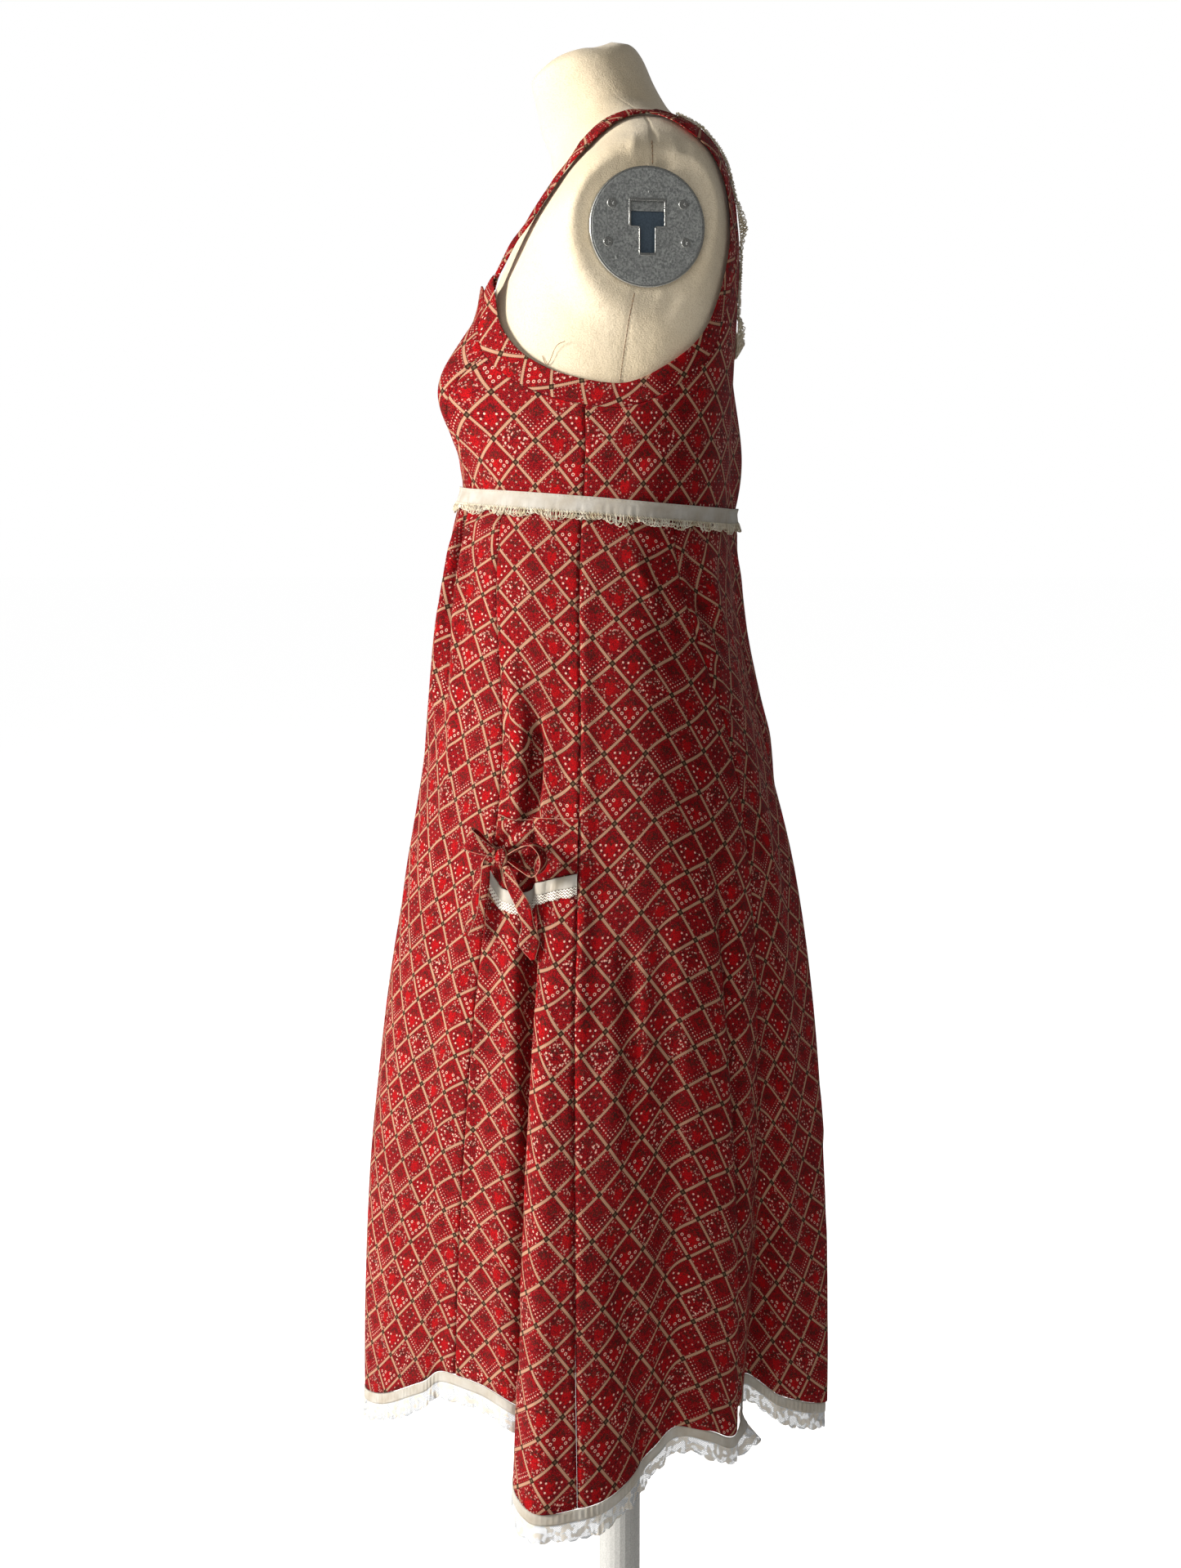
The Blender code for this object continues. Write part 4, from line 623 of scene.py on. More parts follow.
# %% Arithmetic that makes nodes
class Field:
    """A value that a material's nodes work out at every point of a surface."""

    def __init__(self, tree, socket):
        self.tree, self.socket = tree, socket

    def math(self, operation, *others):
        """A field made by one Math node from this one and other fields or numbers."""
        made = self.tree.nodes.new("ShaderNodeMath")
        made.operation = operation
        for entry, value in zip(made.inputs, (self, *others)):
            if isinstance(value, Field):
                self.tree.links.new(value.socket, entry)
            else:
                entry.default_value = value
        return Field(self.tree, made.outputs[0])

    def __add__(self, other):
        return self.math("ADD", other)

    def __sub__(self, other):
        return self.math("SUBTRACT", other)

    def __mul__(self, other):
        return self.math("MULTIPLY", other)

    def __truediv__(self, other):
        return self.math("DIVIDE", other)

    def modulo(self, other):
        """What is left over after whole steps."""
        return self.math("FLOORED_MODULO", other)

    def least(self, other):
        """The smaller of two fields."""
        return self.math("MINIMUM", other)

    def most(self, other):
        """The larger of two fields."""
        return self.math("MAXIMUM", other)

    def size(self):
        """The field without its sign."""
        return self.math("ABSOLUTE")

    def equals(self, other):
        """1 where the field is within a half of a number."""
        return self.math("COMPARE", other, 0.5)

    def wave(self, length):
        """1 and -1 in turn, as a sine of the given length."""
        return (self * (2 * math.pi / length)).math("SINE")

    def ramp(self, low, high, start=0.0, end=1.0):
        """start below low, end above high, and a straight line between."""
        made = self.tree.nodes.new("ShaderNodeMapRange")
        self.tree.links.new(self.socket, made.inputs["Value"])
        for name, value in (("From Min", low), ("From Max", high), ("To Min", start),
                            ("To Max", end)):
            made.inputs[name].default_value = value
        return Field(self.tree, made.outputs["Result"])

    def under(self, edge, soft=0.12):
        """1 where the field is less than the edge, with a soft step."""
        return self.ramp(edge - soft, edge + soft, 1.0, 0.0)

    def over(self, edge, soft=0.12):
        """1 where the field is more than the edge."""
        return self.ramp(edge - soft, edge + soft)


# %% Coordinates, noise and paint
class Finish:
    """A material whose nodes are made by fields, on a Principled shader."""

    def __init__(self, name, **constants):
        self.material = bpy.data.materials.new(name)
        self.material.use_nodes = True
        self.tree = self.material.node_tree
        self.shader = self.tree.nodes["Principled BSDF"]
        for key, value in constants.items():
            socket = key.replace("_", " ").title().replace("Ior", "IOR")
            self.shader.inputs[socket].default_value = value

    def node(self, kind, **links):
        """A node of a kind, with sockets linked or set by name."""
        made = self.tree.nodes.new(kind)
        for name, value in links.items():
            entry = made.inputs[name.replace("_", " ").title()]
            if isinstance(value, Field):
                self.tree.links.new(value.socket, entry)
            else:
                entry.default_value = value
        return made

    def field(self, socket):
        """What comes out of a socket."""
        return Field(self.tree, socket)

    def cut(self, layer="cut"):
        """Place on the flat cloth, in millimetres across and along it."""
        source = self.tree.nodes.new("ShaderNodeUVMap")
        source.uv_map = layer
        return self.parts(self.field(source.outputs["UV"]))

    def place(self):
        """Place on the object, in millimetres."""
        source = self.tree.nodes.new("ShaderNodeTexCoord")
        return self.parts(self.field(source.outputs["Object"]))

    def parts(self, vector):
        """A place's three parts, turned from metres to millimetres."""
        split = self.node("ShaderNodeSeparateXYZ", vector=vector)
        return [self.field(out) * 1000.0 for out in split.outputs]

    def vector(self, x, y, z=0.0):
        """Three fields as one place."""
        return self.field(self.node("ShaderNodeCombineXYZ", x=x, y=y, z=z).outputs[0])

    def noise(self, vector, scale, detail=2.0, roughness=0.5):
        """Cloudy noise from 0 to 1."""
        made = self.node("ShaderNodeTexNoise", vector=vector, scale=scale, detail=detail,
                         roughness=roughness)
        return self.field(made.outputs[0])

    def spots(self, vector, scale, feature="F1", randomness=1.0):
        """Distance to the nearest of scattered points, or to the border between them."""
        made = self.node("ShaderNodeTexVoronoi", vector=vector, scale=scale,
                         randomness=randomness)
        made.feature = feature
        return self.field(made.outputs["Distance"])

    def apart(self, vector, x, y):
        """Distance from a fixed point."""
        made = self.tree.nodes.new("ShaderNodeVectorMath")
        made.operation = "DISTANCE"
        self.tree.links.new(vector.socket, made.inputs[0])
        made.inputs[1].default_value = (x, y, 0.0)
        return self.field(made.outputs["Value"])

    def mix(self, below, colour, share):
        """A colour laid over another where share is 1."""
        made = self.tree.nodes.new("ShaderNodeMix")
        made.data_type = "RGBA"
        self.tree.links.new(share.socket, made.inputs["Factor"])
        for key, value in (("A", below), ("B", colour)):
            entry = [s for s in made.inputs if s.name == key and s.type == "RGBA"][0]
            if isinstance(value, Field):
                self.tree.links.new(value.socket, entry)
            else:
                entry.default_value = (*value, 1.0)
        return self.field([s for s in made.outputs if s.type == "RGBA"][0])

    def relief(self, height, metres):
        """Bump from a height of 0 to 1 that stands for a depth in metres."""
        bump = self.node("ShaderNodeBump", height=height, distance=metres, strength=1.0)
        self.tree.links.new(bump.outputs["Normal"], self.shader.inputs["Normal"])

    def wear(self, name, value):
        """A shader socket that varies over the surface."""
        self.tree.links.new(value.socket, self.shader.inputs[name])


def dyed(red, green, blue):
    """A colour as the eye reads it, 0 to 255, in the shader's linear light."""
    c = np.array([red, green, blue]) / 255.0
    return tuple(float(x) for x in np.where(c <= 0.04045, c / 12.92, ((c + 0.055) / 1.055) ** 2.4))


# %% [markdown]
# The lattice is 25 mm square and stands on its corner. A point's place in its cell gives the
# line, the little square at each crossing and the motif. Cells go in columns: each column has
# one family of motifs, and two motifs take turns down it. A motif is a few dots at distances
# from the cell's middle line, so one list of points draws both halves.

# %% The print of the calico
CELL = 24.6                    # mm from line to line
LINE = 1.05                    # half the width of a line, mm
DIAGONAL = 0.7071              # cosine of half a right angle
# Points of each motif in mm: beside the cell's middle line, and up it
TEARDROPS = ((8.8, 1.4), (7.4, -2.8), (4.1, -6.2), (0.0, -9.8), (4.4, 1.2))
RINGS_DRAWN = ((9.6, -0.2), (6.5, -3.2), (3.3, -6.4), (0.0, -9.6), (3.9, 0.4))
SPRIG = ((0.0, 7.5), (2.3, 6.0), (4.2, 4.2), (1.6, 3.6), (0.0, 2.2))
RED, DEEP_RED, BRIGHT_RED = dyed(160, 10, 16), dyed(66, 2, 10), dyed(184, 6, 12)
TAN, OLIVE, CREAM = dyed(186, 142, 114), dyed(48, 28, 18), dyed(232, 188, 168)


def nearest(calico, vector, points):
    """Distance to the nearest of a few points."""
    found = calico.apart(vector, *points[0])
    for point in points[1:]:
        found = found.least(calico.apart(vector, *point))
    return found


def make_calico():
    """Red patchwork calico, dull."""
    calico = Finish("red_calico", roughness=0.85, specular_ior_level=0.12)
    x, y, _ = calico.cut()
    a, b = (x + y) * (DIAGONAL / CELL), (y - x) * (DIAGONAL / CELL)
    i, j = a.math("FLOOR"), b.math("FLOOR")
    along, over = ((a - i) - 0.5) * CELL, ((b - j) - 0.5) * CELL
    side, up = ((along - over) * DIAGONAL).size(), (along + over) * DIAGONAL
    far_a, far_b = along.size(), over.size()
    motif = calico.vector(side, up)
    flat = calico.vector(x, y)
    family = (i - j).modulo(4.0)
    turn = ((i + j) * 0.5).math("FLOOR").modulo(2.0)
    family_0, family_1 = family.equals(0.0), family.equals(1.0)
    family_2, family_3 = family.equals(2.0), family.equals(3.0)

    # Ground: red, closely covered with dark squiggles and light flecks
    cloud = calico.noise(flat, 0.07, 3.0)
    squiggle = (calico.noise(flat, 0.55, 1.0) - 0.5).size()
    seeds = calico.spots(flat, 0.62)
    colour = calico.mix(RED, DEEP_RED, cloud.ramp(0.40, 0.75, 0.0, 0.45))
    colour = calico.mix(colour, DEEP_RED, squiggle.under(0.055, 0.025) * 0.9)
    colour = calico.mix(colour, CREAM, seeds.under(0.15, 0.04) * cloud.ramp(0.35, 0.6, 0.05, 0.38))

    # A plume of bright red with dark sprigs over it
    plume_at = calico.vector(side * 1.5, up + 1.5)
    plume = calico.apart(plume_at, 0.0, 0.0)
    rib = (calico.spots(flat, 0.55, "DISTANCE_TO_EDGE")).under(0.07, 0.03)
    bloom = plume.under(6.2, 0.8) * family_2.most(family_1)
    colour = calico.mix(colour, BRIGHT_RED, bloom)
    colour = calico.mix(colour, DEEP_RED, bloom * rib * 0.8)
    leaf = nearest(calico, motif, SPRIG)
    sprig = leaf.under(1.35, 0.4) * calico.noise(flat, 0.9, 1.0).over(0.46, 0.04)
    colour = calico.mix(colour, OLIVE, sprig * 0.85)

    # Motifs in cream
    drops = nearest(calico, motif, TEARDROPS).under(0.85)
    rings = (nearest(calico, motif, RINGS_DRAWN) - 1.0).size().under(0.28)
    dot_x, dot_y = along.modulo(3.0) - 1.5, over.modulo(3.0) - 1.5
    dot = (dot_x * dot_x + dot_y * dot_y).math("SQRT")
    vee = side - up
    dense = dot.under(0.62) * vee.over(6.6) * vee.under(14.2)
    outer = side.over(4.8).most(up.under(-4.8)).most(up.over(7.0))
    around = dot.under(0.45) * outer * 0.7
    cross = dot_x.size().least(dot_y.size()).under(0.20) * dot.under(0.85)
    cross = cross * along.modulo(6.0).under(3.0, 0.01) * over.modulo(6.0).under(3.0, 0.01) * 0.8
    tiny = calico.spots(flat, 0.42)
    speckle = (tiny - 0.22).size().under(0.055, 0.03) * plume.over(5.0)
    swap = turn.ramp(0.0, 1.0, 1.0, 0.0)
    marks = family_2 * swap * drops
    for share, mark in ((family_2 * turn, rings), (family_0 * swap, dense),
                        (family_0 * turn, around), (family_1, speckle * 0.8),
                        (family_3 * swap, cross), (family_3 * turn, speckle.most(drops))):
        marks = marks.most(share * mark)
    inside = far_a.most(far_b).under(CELL / 2 - LINE - 0.6)
    colour = calico.mix(colour, CREAM, marks * inside)

    # Lattice lines with toothed dark edges, and a square at each crossing
    on_a = (far_a - far_b).over(0.0, 0.02)
    run = over * on_a + along * (on_a * -1.0 + 1.0)
    tooth = run.math("PINGPONG", 0.8) * 0.6
    from_line = (far_a.most(far_b) * -1.0 + CELL / 2) + tooth
    colour = calico.mix(colour, OLIVE, from_line.under(LINE + 0.65) * 0.75)
    colour = calico.mix(colour, TAN, from_line.under(LINE + 0.25))
    corner_a, corner_b = far_a * -1.0 + CELL / 2, far_b * -1.0 + CELL / 2
    square = corner_a.most(corner_b)
    colour = calico.mix(colour, OLIVE, square.under(2.0))
    colour = calico.mix(colour, dyed(104, 88, 60), (corner_a + corner_b).under(1.2) * 0.8)

    # The dye is uneven over a hand's breadth, and the weave is a plain one
    wash = calico.noise(flat, 0.012, 2.0).ramp(0.3, 0.7, 0.0, 0.16)
    colour = calico.mix(colour, DEEP_RED, wash)
    calico.wear("Base Color", colour)
    weave = x.wave(0.55) * y.wave(0.55)
    rumple = calico.noise(flat, 0.10, 3.0)
    calico.relief(weave * 0.06 + rumple, 0.0016)
    print("nodes in the calico:", len(calico.tree.nodes))
    return calico.material


calico = make_calico()

# %% [markdown]
# ## The other finishes
# Cotton tape is a plain white weave, yellowed in places. Crochet thread is fuzzy and cream.
# The hem lace is a net of thread with flowers in it, so its threads are drawn by the
# shader's alpha and light passes between them. The form is covered with jersey, and its arm
# plates are zinc-coated steel with the mottled grains of zinc.

# %% Tape, thread and lace
def make_tape():
    """White cotton tape: a fine weave, with beige clouds."""
    tape = Finish("cotton_tape", roughness=0.85, sheen_weight=0.1)
    x, y, _ = tape.cut()
    flat = tape.vector(x, y)
    cloud = tape.noise(flat, 0.06, 3.0)
    colour = tape.mix(dyed(208, 203, 193), dyed(182, 169, 148), cloud.ramp(0.35, 0.8))
    thread = x.wave(0.9).size()
    colour = tape.mix(colour, dyed(176, 166, 146), thread.under(0.3, 0.2) * 0.25)
    tape.wear("Base Color", colour)
    tape.relief(x.wave(0.9) * y.wave(0.6) * 0.3 + tape.noise(flat, 0.25, 2.0), 0.0006)
    return tape.material


def make_thread(name, light, shade, fuzz):
    """Twisted cotton thread."""
    thread = Finish(name, roughness=0.9, sheen_weight=0.2)
    x, y, z = thread.place()
    where = thread.vector(x, y, z)
    colour = thread.mix(light, shade, thread.noise(where, 0.10, 2.0).ramp(0.35, 0.7))
    thread.wear("Base Color", colour)
    thread.relief(thread.noise(where, 2.2, 2.0), fuzz)
    return thread.material


def make_lace():
    """Machine lace: a diagonal net, flowers of denser thread and a bold scalloped edge."""
    lace = Finish("hem_lace_net", roughness=0.8, sheen_weight=0.15)
    x, y, _ = lace.cut()
    flat = lace.vector(x, y)
    net = (x + y).wave(3.2).size().least((x - y).wave(3.2).size()).under(0.34, 0.1)
    flower = lace.noise(flat, 0.16, 2.0, 0.4)
    petals = flower.over(0.53, 0.02)
    outline = (flower - 0.53).size().under(0.02, 0.01)
    hatch = x.wave(1.1).size().under(0.55, 0.2)
    thread = net.most(outline).most(petals * hatch.ramp(0.0, 1.0, 0.45, 1.0))
    edge = y.size().under(1.2, 0.2).most((y.size() - 15.0).over(0.0, 0.6) * 0.8)
    lace.wear("Alpha", thread.most(edge).ramp(0.0, 1.0, 0.12, 1.0))
    lace.wear("Base Color", lace.mix(dyed(214, 218, 222), dyed(232, 224, 210), petals))
    lace.relief(thread, 0.0004)
    return lace.material


def make_zigzag():
    """Narrow lace of the pockets: rows of zigzag threads."""
    lace = Finish("zigzag_lace", roughness=0.85)
    x, y, _ = lace.cut()
    row = (y + x.math("PINGPONG", 1.5)).modulo(2.1)
    thread = (row - 1.0).size().under(0.55, 0.15)
    lace.wear("Alpha", thread.ramp(0.0, 1.0, 0.10, 1.0))
    lace.wear("Base Color", lace.mix(dyed(206, 196, 180), dyed(232, 226, 214), thread))
    return lace.material


cotton_tape = make_tape()
zigzag_lace = make_zigzag()
# Pale cords on the folded edges: partly the print's line on the fold, partly painted highlight
# where the fold catches the light.
folded_edge_and_highlight = make_thread("folded_edge_and_highlight", dyed(190, 134, 108), dyed(140, 80, 64), 0.0001)
crochet_cotton = make_thread("crochet_cotton", dyed(232, 224, 204), dyed(196, 180, 146), 0.0003)
brown_thread = make_thread("brown_thread", dyed(140, 104, 66), dyed(108, 74, 44), 0.0001)
# The stitching thread is off-white and painted darker than the tape: painted shade of the stitches'
# dips, so that they show on it.
white_thread_with_painted_shade = make_thread("white_thread_with_painted_shade", dyed(196, 186, 166), dyed(170, 158, 134), 0.0001)
lace_net = make_lace()

# %% Jersey, zinc and painted steel
def make_jersey():
    """Cream jersey: a fine uneven knit, warm, hardly glossy."""
    jersey = Finish("cream_jersey", roughness=0.88, sheen_weight=0.15, sheen_roughness=0.4)
    x, y, z = jersey.place()
    where = jersey.vector(x, y, z)
    cloud = jersey.noise(where, 0.012, 3.0)
    colour = jersey.mix(dyed(220, 206, 180), dyed(212, 194, 162), cloud.ramp(0.35, 0.75))
    stitch = jersey.noise(jersey.vector(x, y, z * 1.6), 0.75, 1.0)
    colour = jersey.mix(colour, dyed(172, 148, 108), stitch.over(0.56, 0.05) * 0.25)
    jersey.wear("Base Color", colour)
    jersey.relief(stitch * 0.35 + jersey.noise(where, 0.07, 2.0), 0.0010)
    return jersey.material


def make_zinc():
    """Zinc on steel: grains a few millimetres wide, each a slightly different grey."""
    zinc = Finish("galvanised_steel", metallic=0.45)
    x, y, z = zinc.place()
    where = zinc.vector(x, y, z)
    grain = zinc.noise(where, 0.55, 4.0, 0.65)
    patch = zinc.noise(where, 0.10, 2.0)
    colour = zinc.mix(dyed(118, 120, 119), dyed(178, 180, 176), grain.ramp(0.40, 0.60))
    colour = zinc.mix(colour, dyed(134, 136, 133), patch.ramp(0.3, 0.7, 0.0, 0.5))
    zinc.wear("Base Color", colour)
    zinc.wear("Roughness", grain.ramp(0.3, 0.7, 0.34, 0.52))
    zinc.relief(grain, 0.0003)
    return zinc.material


def make_steel(name, colour, roughness, metallic):
    """Painted or bare steel with a slight grain."""
    steel = Finish(name, metallic=metallic)
    x, y, z = steel.place()
    grain = steel.noise(steel.vector(x, y, z), 0.8, 3.0)
    dark = tuple(0.7 * value for value in colour)
    steel.wear("Base Color", steel.mix(colour, dark, grain.ramp(0.3, 0.7)))
    steel.wear("Roughness", grain.ramp(0.3, 0.7, roughness, roughness + 0.1))
    steel.relief(grain, 0.0001)
    return steel.material


cream_jersey = make_jersey()
galvanised = make_zinc()
bright_rim = make_steel("bright_steel", dyed(206, 206, 200), 0.25, 1.0)
blue_steel = make_steel("blued_steel", dyed(96, 112, 126), 0.35, 0.5)
grey_paint = make_steel("grey_paint", dyed(196, 196, 192), 0.42, 0.0)

# %% [markdown]
# ## Creases placed one by one
# The solids already have the big folds. What makes cloth look worn is the rest: a soft
# ridge or trough that starts at nothing, runs slightly slanted and fades. Each row of the
# table is one crease with two ends. A point's distance to the crease's middle line, over its
# width, goes through a bell curve, and the cloth moves in or out by the crease's depth there.

# %% The creases of the skirt
# side (1 left, -1 right, 0 both), then turn and share down at both ends, width and depth in mm
CREASES = (
    (0, 21.0, 0.006, 19.0, 0.26, 5.0, 6.5),   # the let-out pleat of the front
    (0, 26.0, -0.05, 24.5, 0.26, 4.0, -6.5),
    (0, 32.0, 0.02, 29.0, 0.42, 7, 2.5),
    (-1, 167.0, 0.00, 168.0, 0.32, 20, 10.0),  # loose cloth of the right-hand back
    (0, 10.0, 0.05, 8.0, 0.50, 12, 2.0),
    (0, 4.0, 0.20, 5.0, 0.75, 14, -2.0),
    (0, 36.0, 0.30, 34.0, 0.90, 13, -2.5),
    (0, 44.0, 0.38, 43.0, 0.95, 10, 2.0),
    (1, 54.0, 0.16, 56.0, 0.36, 8, 5.0),      # ridge down to the bow
    (1, 63.0, 0.24, 58.5, 0.37, 6, -5.5),
    (1, 58.0, 0.42, 61.0, 0.74, 8, 4.5),      # below the bow
    (1, 65.5, 0.42, 65.0, 0.82, 9, -11.0),
    (1, 52.5, 0.45, 50.5, 0.90, 8, -3.0),
    (1, 73.0, 0.42, 77.0, 0.98, 12, 2.5),
    (1, 83.0, 0.06, 82.5, 0.62, 8, 1.8),      # ridge beside the side seam
    (1, 93.5, 0.42, 95.0, 0.70, 8, -5.5),
    (1, 90.0, 0.70, 97.0, 1.02, 12, -4.5),
    (1, 113.0, 0.30, 115.0, 0.99, 11, -10.0),
    (1, 103.0, 0.36, 105.0, 0.99, 12, 3.0),
    (1, 100.0, 0.04, 112.0, 0.12, 6, 2.0),    # drag folds under the back of the waist
    (1, 108.0, 0.05, 118.0, 0.16, 6, -2.4),
    (1, 118.0, 0.10, 132.0, 0.18, 8, 2.4),
    (1, 122.0, 0.20, 140.0, 0.26, 9, -2.0),
    (1, 126.0, 0.32, 130.0, 0.92, 12, 2.6),
    (0, 150.0, 0.16, 150.0, 0.95, 14, -2.6),
    (0, 168.0, 0.20, 170.0, 0.98, 12, 2.2),
    (-1, 55.0, 0.15, 58.0, 0.36, 9, 2.8),
    (-1, 64.0, 0.26, 60.0, 0.37, 6, -3.2),
    (-1, 67.0, 0.44, 65.0, 0.86, 9, -2.8),
    (-1, 76.0, 0.40, 79.0, 1.0, 12, 2.3),
    (-1, 92.0, 0.30, 96.0, 0.88, 10, -2.4),
    (-1, 104.0, 0.20, 108.0, 0.80, 12, 2.2),
    (-1, 114.0, 0.36, 118.0, 1.0, 10, -2.8),
    (-1, 112.0, 0.06, 124.0, 0.15, 7, -2.0),
    (-1, 130.0, 0.12, 142.0, 0.22, 9, 2.2),
    (-1, 134.0, 0.40, 132.0, 1.0, 13, 2.4),
)
GROOVE = {"deep": 0.0015, "wide": 0.0014, "swell": 0.0005, "off": 0.006}
RUMPLES = 110


def rumples(count):
    """Small shallow creases all over, mostly upright, from a seeded draw."""
    turn = rng.uniform(0.0, 360.0, count)
    down = rng.uniform(0.03, 0.92, count)
    length = rng.uniform(0.05, 0.22, count)
    slant = rng.normal(0.0, 4.0, count)
    width = rng.uniform(4.0, 11.0, count)
    depth = rng.normal(0.0, 0.75, count)
    return np.stack([np.ones(count), turn, down, turn + slant, down + length, width, depth], 1)


def both_sides(table):
    """Rows for the left side, with a copy for the right where the side is 0 or -1."""
    rows = np.array([row for row in table if row[0] >= 0], float)
    other = np.array([row for row in table if row[0] <= 0], float)
    other[:, [1, 3]] = 360.0 - other[:, [1, 3]]
    return np.concatenate([rows, other])


ALL_CREASES = np.concatenate([both_sides(CREASES), rumples(RUMPLES)])
print("creases on the skirt:", len(ALL_CREASES))


# %% The finished surface of the skirt
def crease_relief(turn, down):
    """How far the creases move the cloth out, in metres: for each crease, its depth times
    exp(-(distance / width)^2), fading at both ends."""
    surface = skirt_face(turn, down)
    total = np.zeros(surface.shape[:-1])
    for _, turn_0, down_0, turn_1, down_1, width, depth in ALL_CREASES:
        share = (down - down_0) / (down_1 - down_0)
        if not np.any((share > 0) & (share < 1)):
            continue
        middle = skirt_face(turn_0 + (turn_1 - turn_0) * np.clip(share, 0, 1), down)
        near = np.abs(half_round(turn - turn_0)) < 40.0
        distance = np.linalg.norm(surface - middle, axis=-1) / (width / 1000.0)
        fade = smoothstep(share / 0.25) * smoothstep((1 - share) / 0.25)
        fade = np.where(down_1 >= 0.97, smoothstep(share / 0.25) * (share < 1.1), fade)
        total = total + near * fade * np.exp(-distance ** 2) * depth / 1000.0
    return total


def skirt(turn, down, lift=0.0):
    """The skirt with its creases, lifted off its outer face."""
    face = skirt_face(turn, down)
    out = normal_of(skirt_face, turn, down, SKIRT_STEPS)
    return face + (crease_relief(turn, down) + lift)[..., None] * out


def down_at(turn, z):
    """Share down the skirt at a height."""
    top = seam_level(turn) - SKIRT_DROP
    return (top - z) / (top - hem_value(turn, "height"))


def seam_shares(count):
    """Even shares of a panel's width, with a few more columns close to both seams."""
    close = np.array([0.0, 0.004, 0.010, 0.020])
    return np.concatenate([close, np.linspace(0.035, 0.965, count), 1 - close[::-1]])


def gone_across(points):
    """Distance gone along each row of a grid of points."""
    steps = np.linalg.norm(np.diff(points, axis=1), axis=2)
    return np.concatenate([np.zeros((len(points), 1)), np.cumsum(steps, axis=1)], axis=1)


def grooved(points, out, amount=1.0):
    """Seams sink into the cloth: near both edges of a grid the face moves in by a bell of
    the distance along the row, and swells slightly beside it."""
    from_left = gone_across(points)
    distance = np.minimum(from_left, from_left[:, -1:] - from_left)
    sunk = -GROOVE["deep"] * np.exp(-(distance / GROOVE["wide"]) ** 2)
    swell = GROOVE["swell"] * np.exp(-((distance - GROOVE["off"]) / GROOVE["off"]) ** 2)
    return points + amount * (sunk + swell)[..., None] * out


def flat_cut(points):
    """Place of each point on the flat cloth: along its row from the middle column, and down
    the middle column."""
    middle = points.shape[1] // 2
    across = gone_across(points)
    across = across - across[:, middle:middle + 1]
    down = gone_along(points[:, middle])[:, None] + 0.0 * across
    return np.stack([across, -down], axis=-1)


END_ROWS = 20             # rows whose widths stand for an end of a gore


def flared(cut):
    """A flared piece is part of a ring when it is laid flat: its rows are arcs about one
    point, whose distance is the piece's width over the angle between its seams."""
    across, down = cut[..., 0], -cut[..., 1]
    wide = across[:, -1] - across[:, 0]
    first, final = np.median(wide[:END_ROWS]), np.median(wide[-END_ROWS:])
    radius = first / ((final - first) / down[-1, 0]) + down
    return np.stack([radius * np.sin(across / radius),
                     radius[0, 0] - radius * np.cos(across / radius)], axis=-1)


# %% [markdown]
# ## The seven gores
# The gores share one surface, so they meet at their seams. Each is its own piece, cut with
# the lattice of the print at its own angle: the side front gores stand on the true
# diagonal, and the front, side back and back gores each slant their own way. Columns crowd
# near the seams, where the cloth sinks to its stitches.

# %% Gores of the skirt
FINE_CLOTH = 0.0012
# name, first and last turn, columns, turn of the print in degrees, and its shift in mm
GORES = (
    ("skirt_front", -49.0, 49.0, 150, 19.0, (6.0, 2.0)),
    ("skirt_side_front_left", 49.0, 81.5, 60, 0.0, (3.0, 9.0)),
    ("skirt_side_back_left", 81.5, 121.0, 66, 14.0, (12.0, 4.0)),
    ("skirt_back_left", 121.0, 180.0, 84, -18.0, (2.0, 14.0)),
    ("skirt_back_right", 180.0, 239.0, 84, 18.0, (9.0, 5.0)),
    ("skirt_side_back_right", 239.0, 278.5, 66, -14.0, (15.0, 8.0)),
    ("skirt_side_front_right", 278.5, 311.0, 60, 0.0, (7.0, 3.0)),
)
GORE_ROWS = 130


def make_gores():
    """Each gore from the skirt surface between its two seams."""
    down = np.concatenate([[0.0, 0.004], np.linspace(0.010, 0.992, GORE_ROWS), [1.0]])[:, None]
    for name, start, end, columns, angle, shift in GORES:
        turn = start + (end - start) * seam_shares(columns)[None, :] + 0.0 * down
        out = normal_of(skirt_face, turn % 360.0, down, SKIRT_STEPS)
        face = grooved(skirt(turn % 360.0, down), out)
        outer = pull_in(face, SEAM_GAP / 2, "lr")
        inner = pull_in(face - FINE_CLOTH * out, SEAM_GAP / 2, "lr")
        cut = turned_cut(flared(flat_cut(face)), angle, np.array(shift) / 1000.0)
        sheet(name + "_cloth", (name,), outer, inner, cut, calico, "calico")


make_gores()

# %% [markdown]
# ## The bodice
# The panels are patches of the bodice surface between their seams. Blending four edge curves
# (a Coons patch) gives a grid that meets all its neighbours, so the finer grids here still
# end on the same seams as the solids. The print's place is the turn times a mean radius,
# and the level, which keeps the lattice square all round the body.

# %% Curves of the bodice's seams
MEAN_RADIUS = 0.132
run = np.linspace(0.0, 1.0, BAND_STEPS + 1)


def follow(table, at):
    """Smooth curve through the rows of a table, at shares of its run."""
    table = np.array(table, float)
    knots = np.linspace(0.0, 1.0, len(table))
    columns = [rounded(knots, values, at) for values in table.T]
    return np.stack(columns, axis=-1)


FINE_RUN = np.linspace(0.0, 1.0, 481)
armhole_edge = follow(ARMHOLE, FINE_RUN)
band_edge = np.stack(beside(armhole_edge[:, 0], armhole_edge[:, 1], BAND_WIDTH), axis=-1)


def band_at(share):
    """The seam between the armhole band and the panels."""
    return np.stack([np.interp(share, FINE_RUN, band_edge[:, k]) for k in (0, 1)], axis=-1)


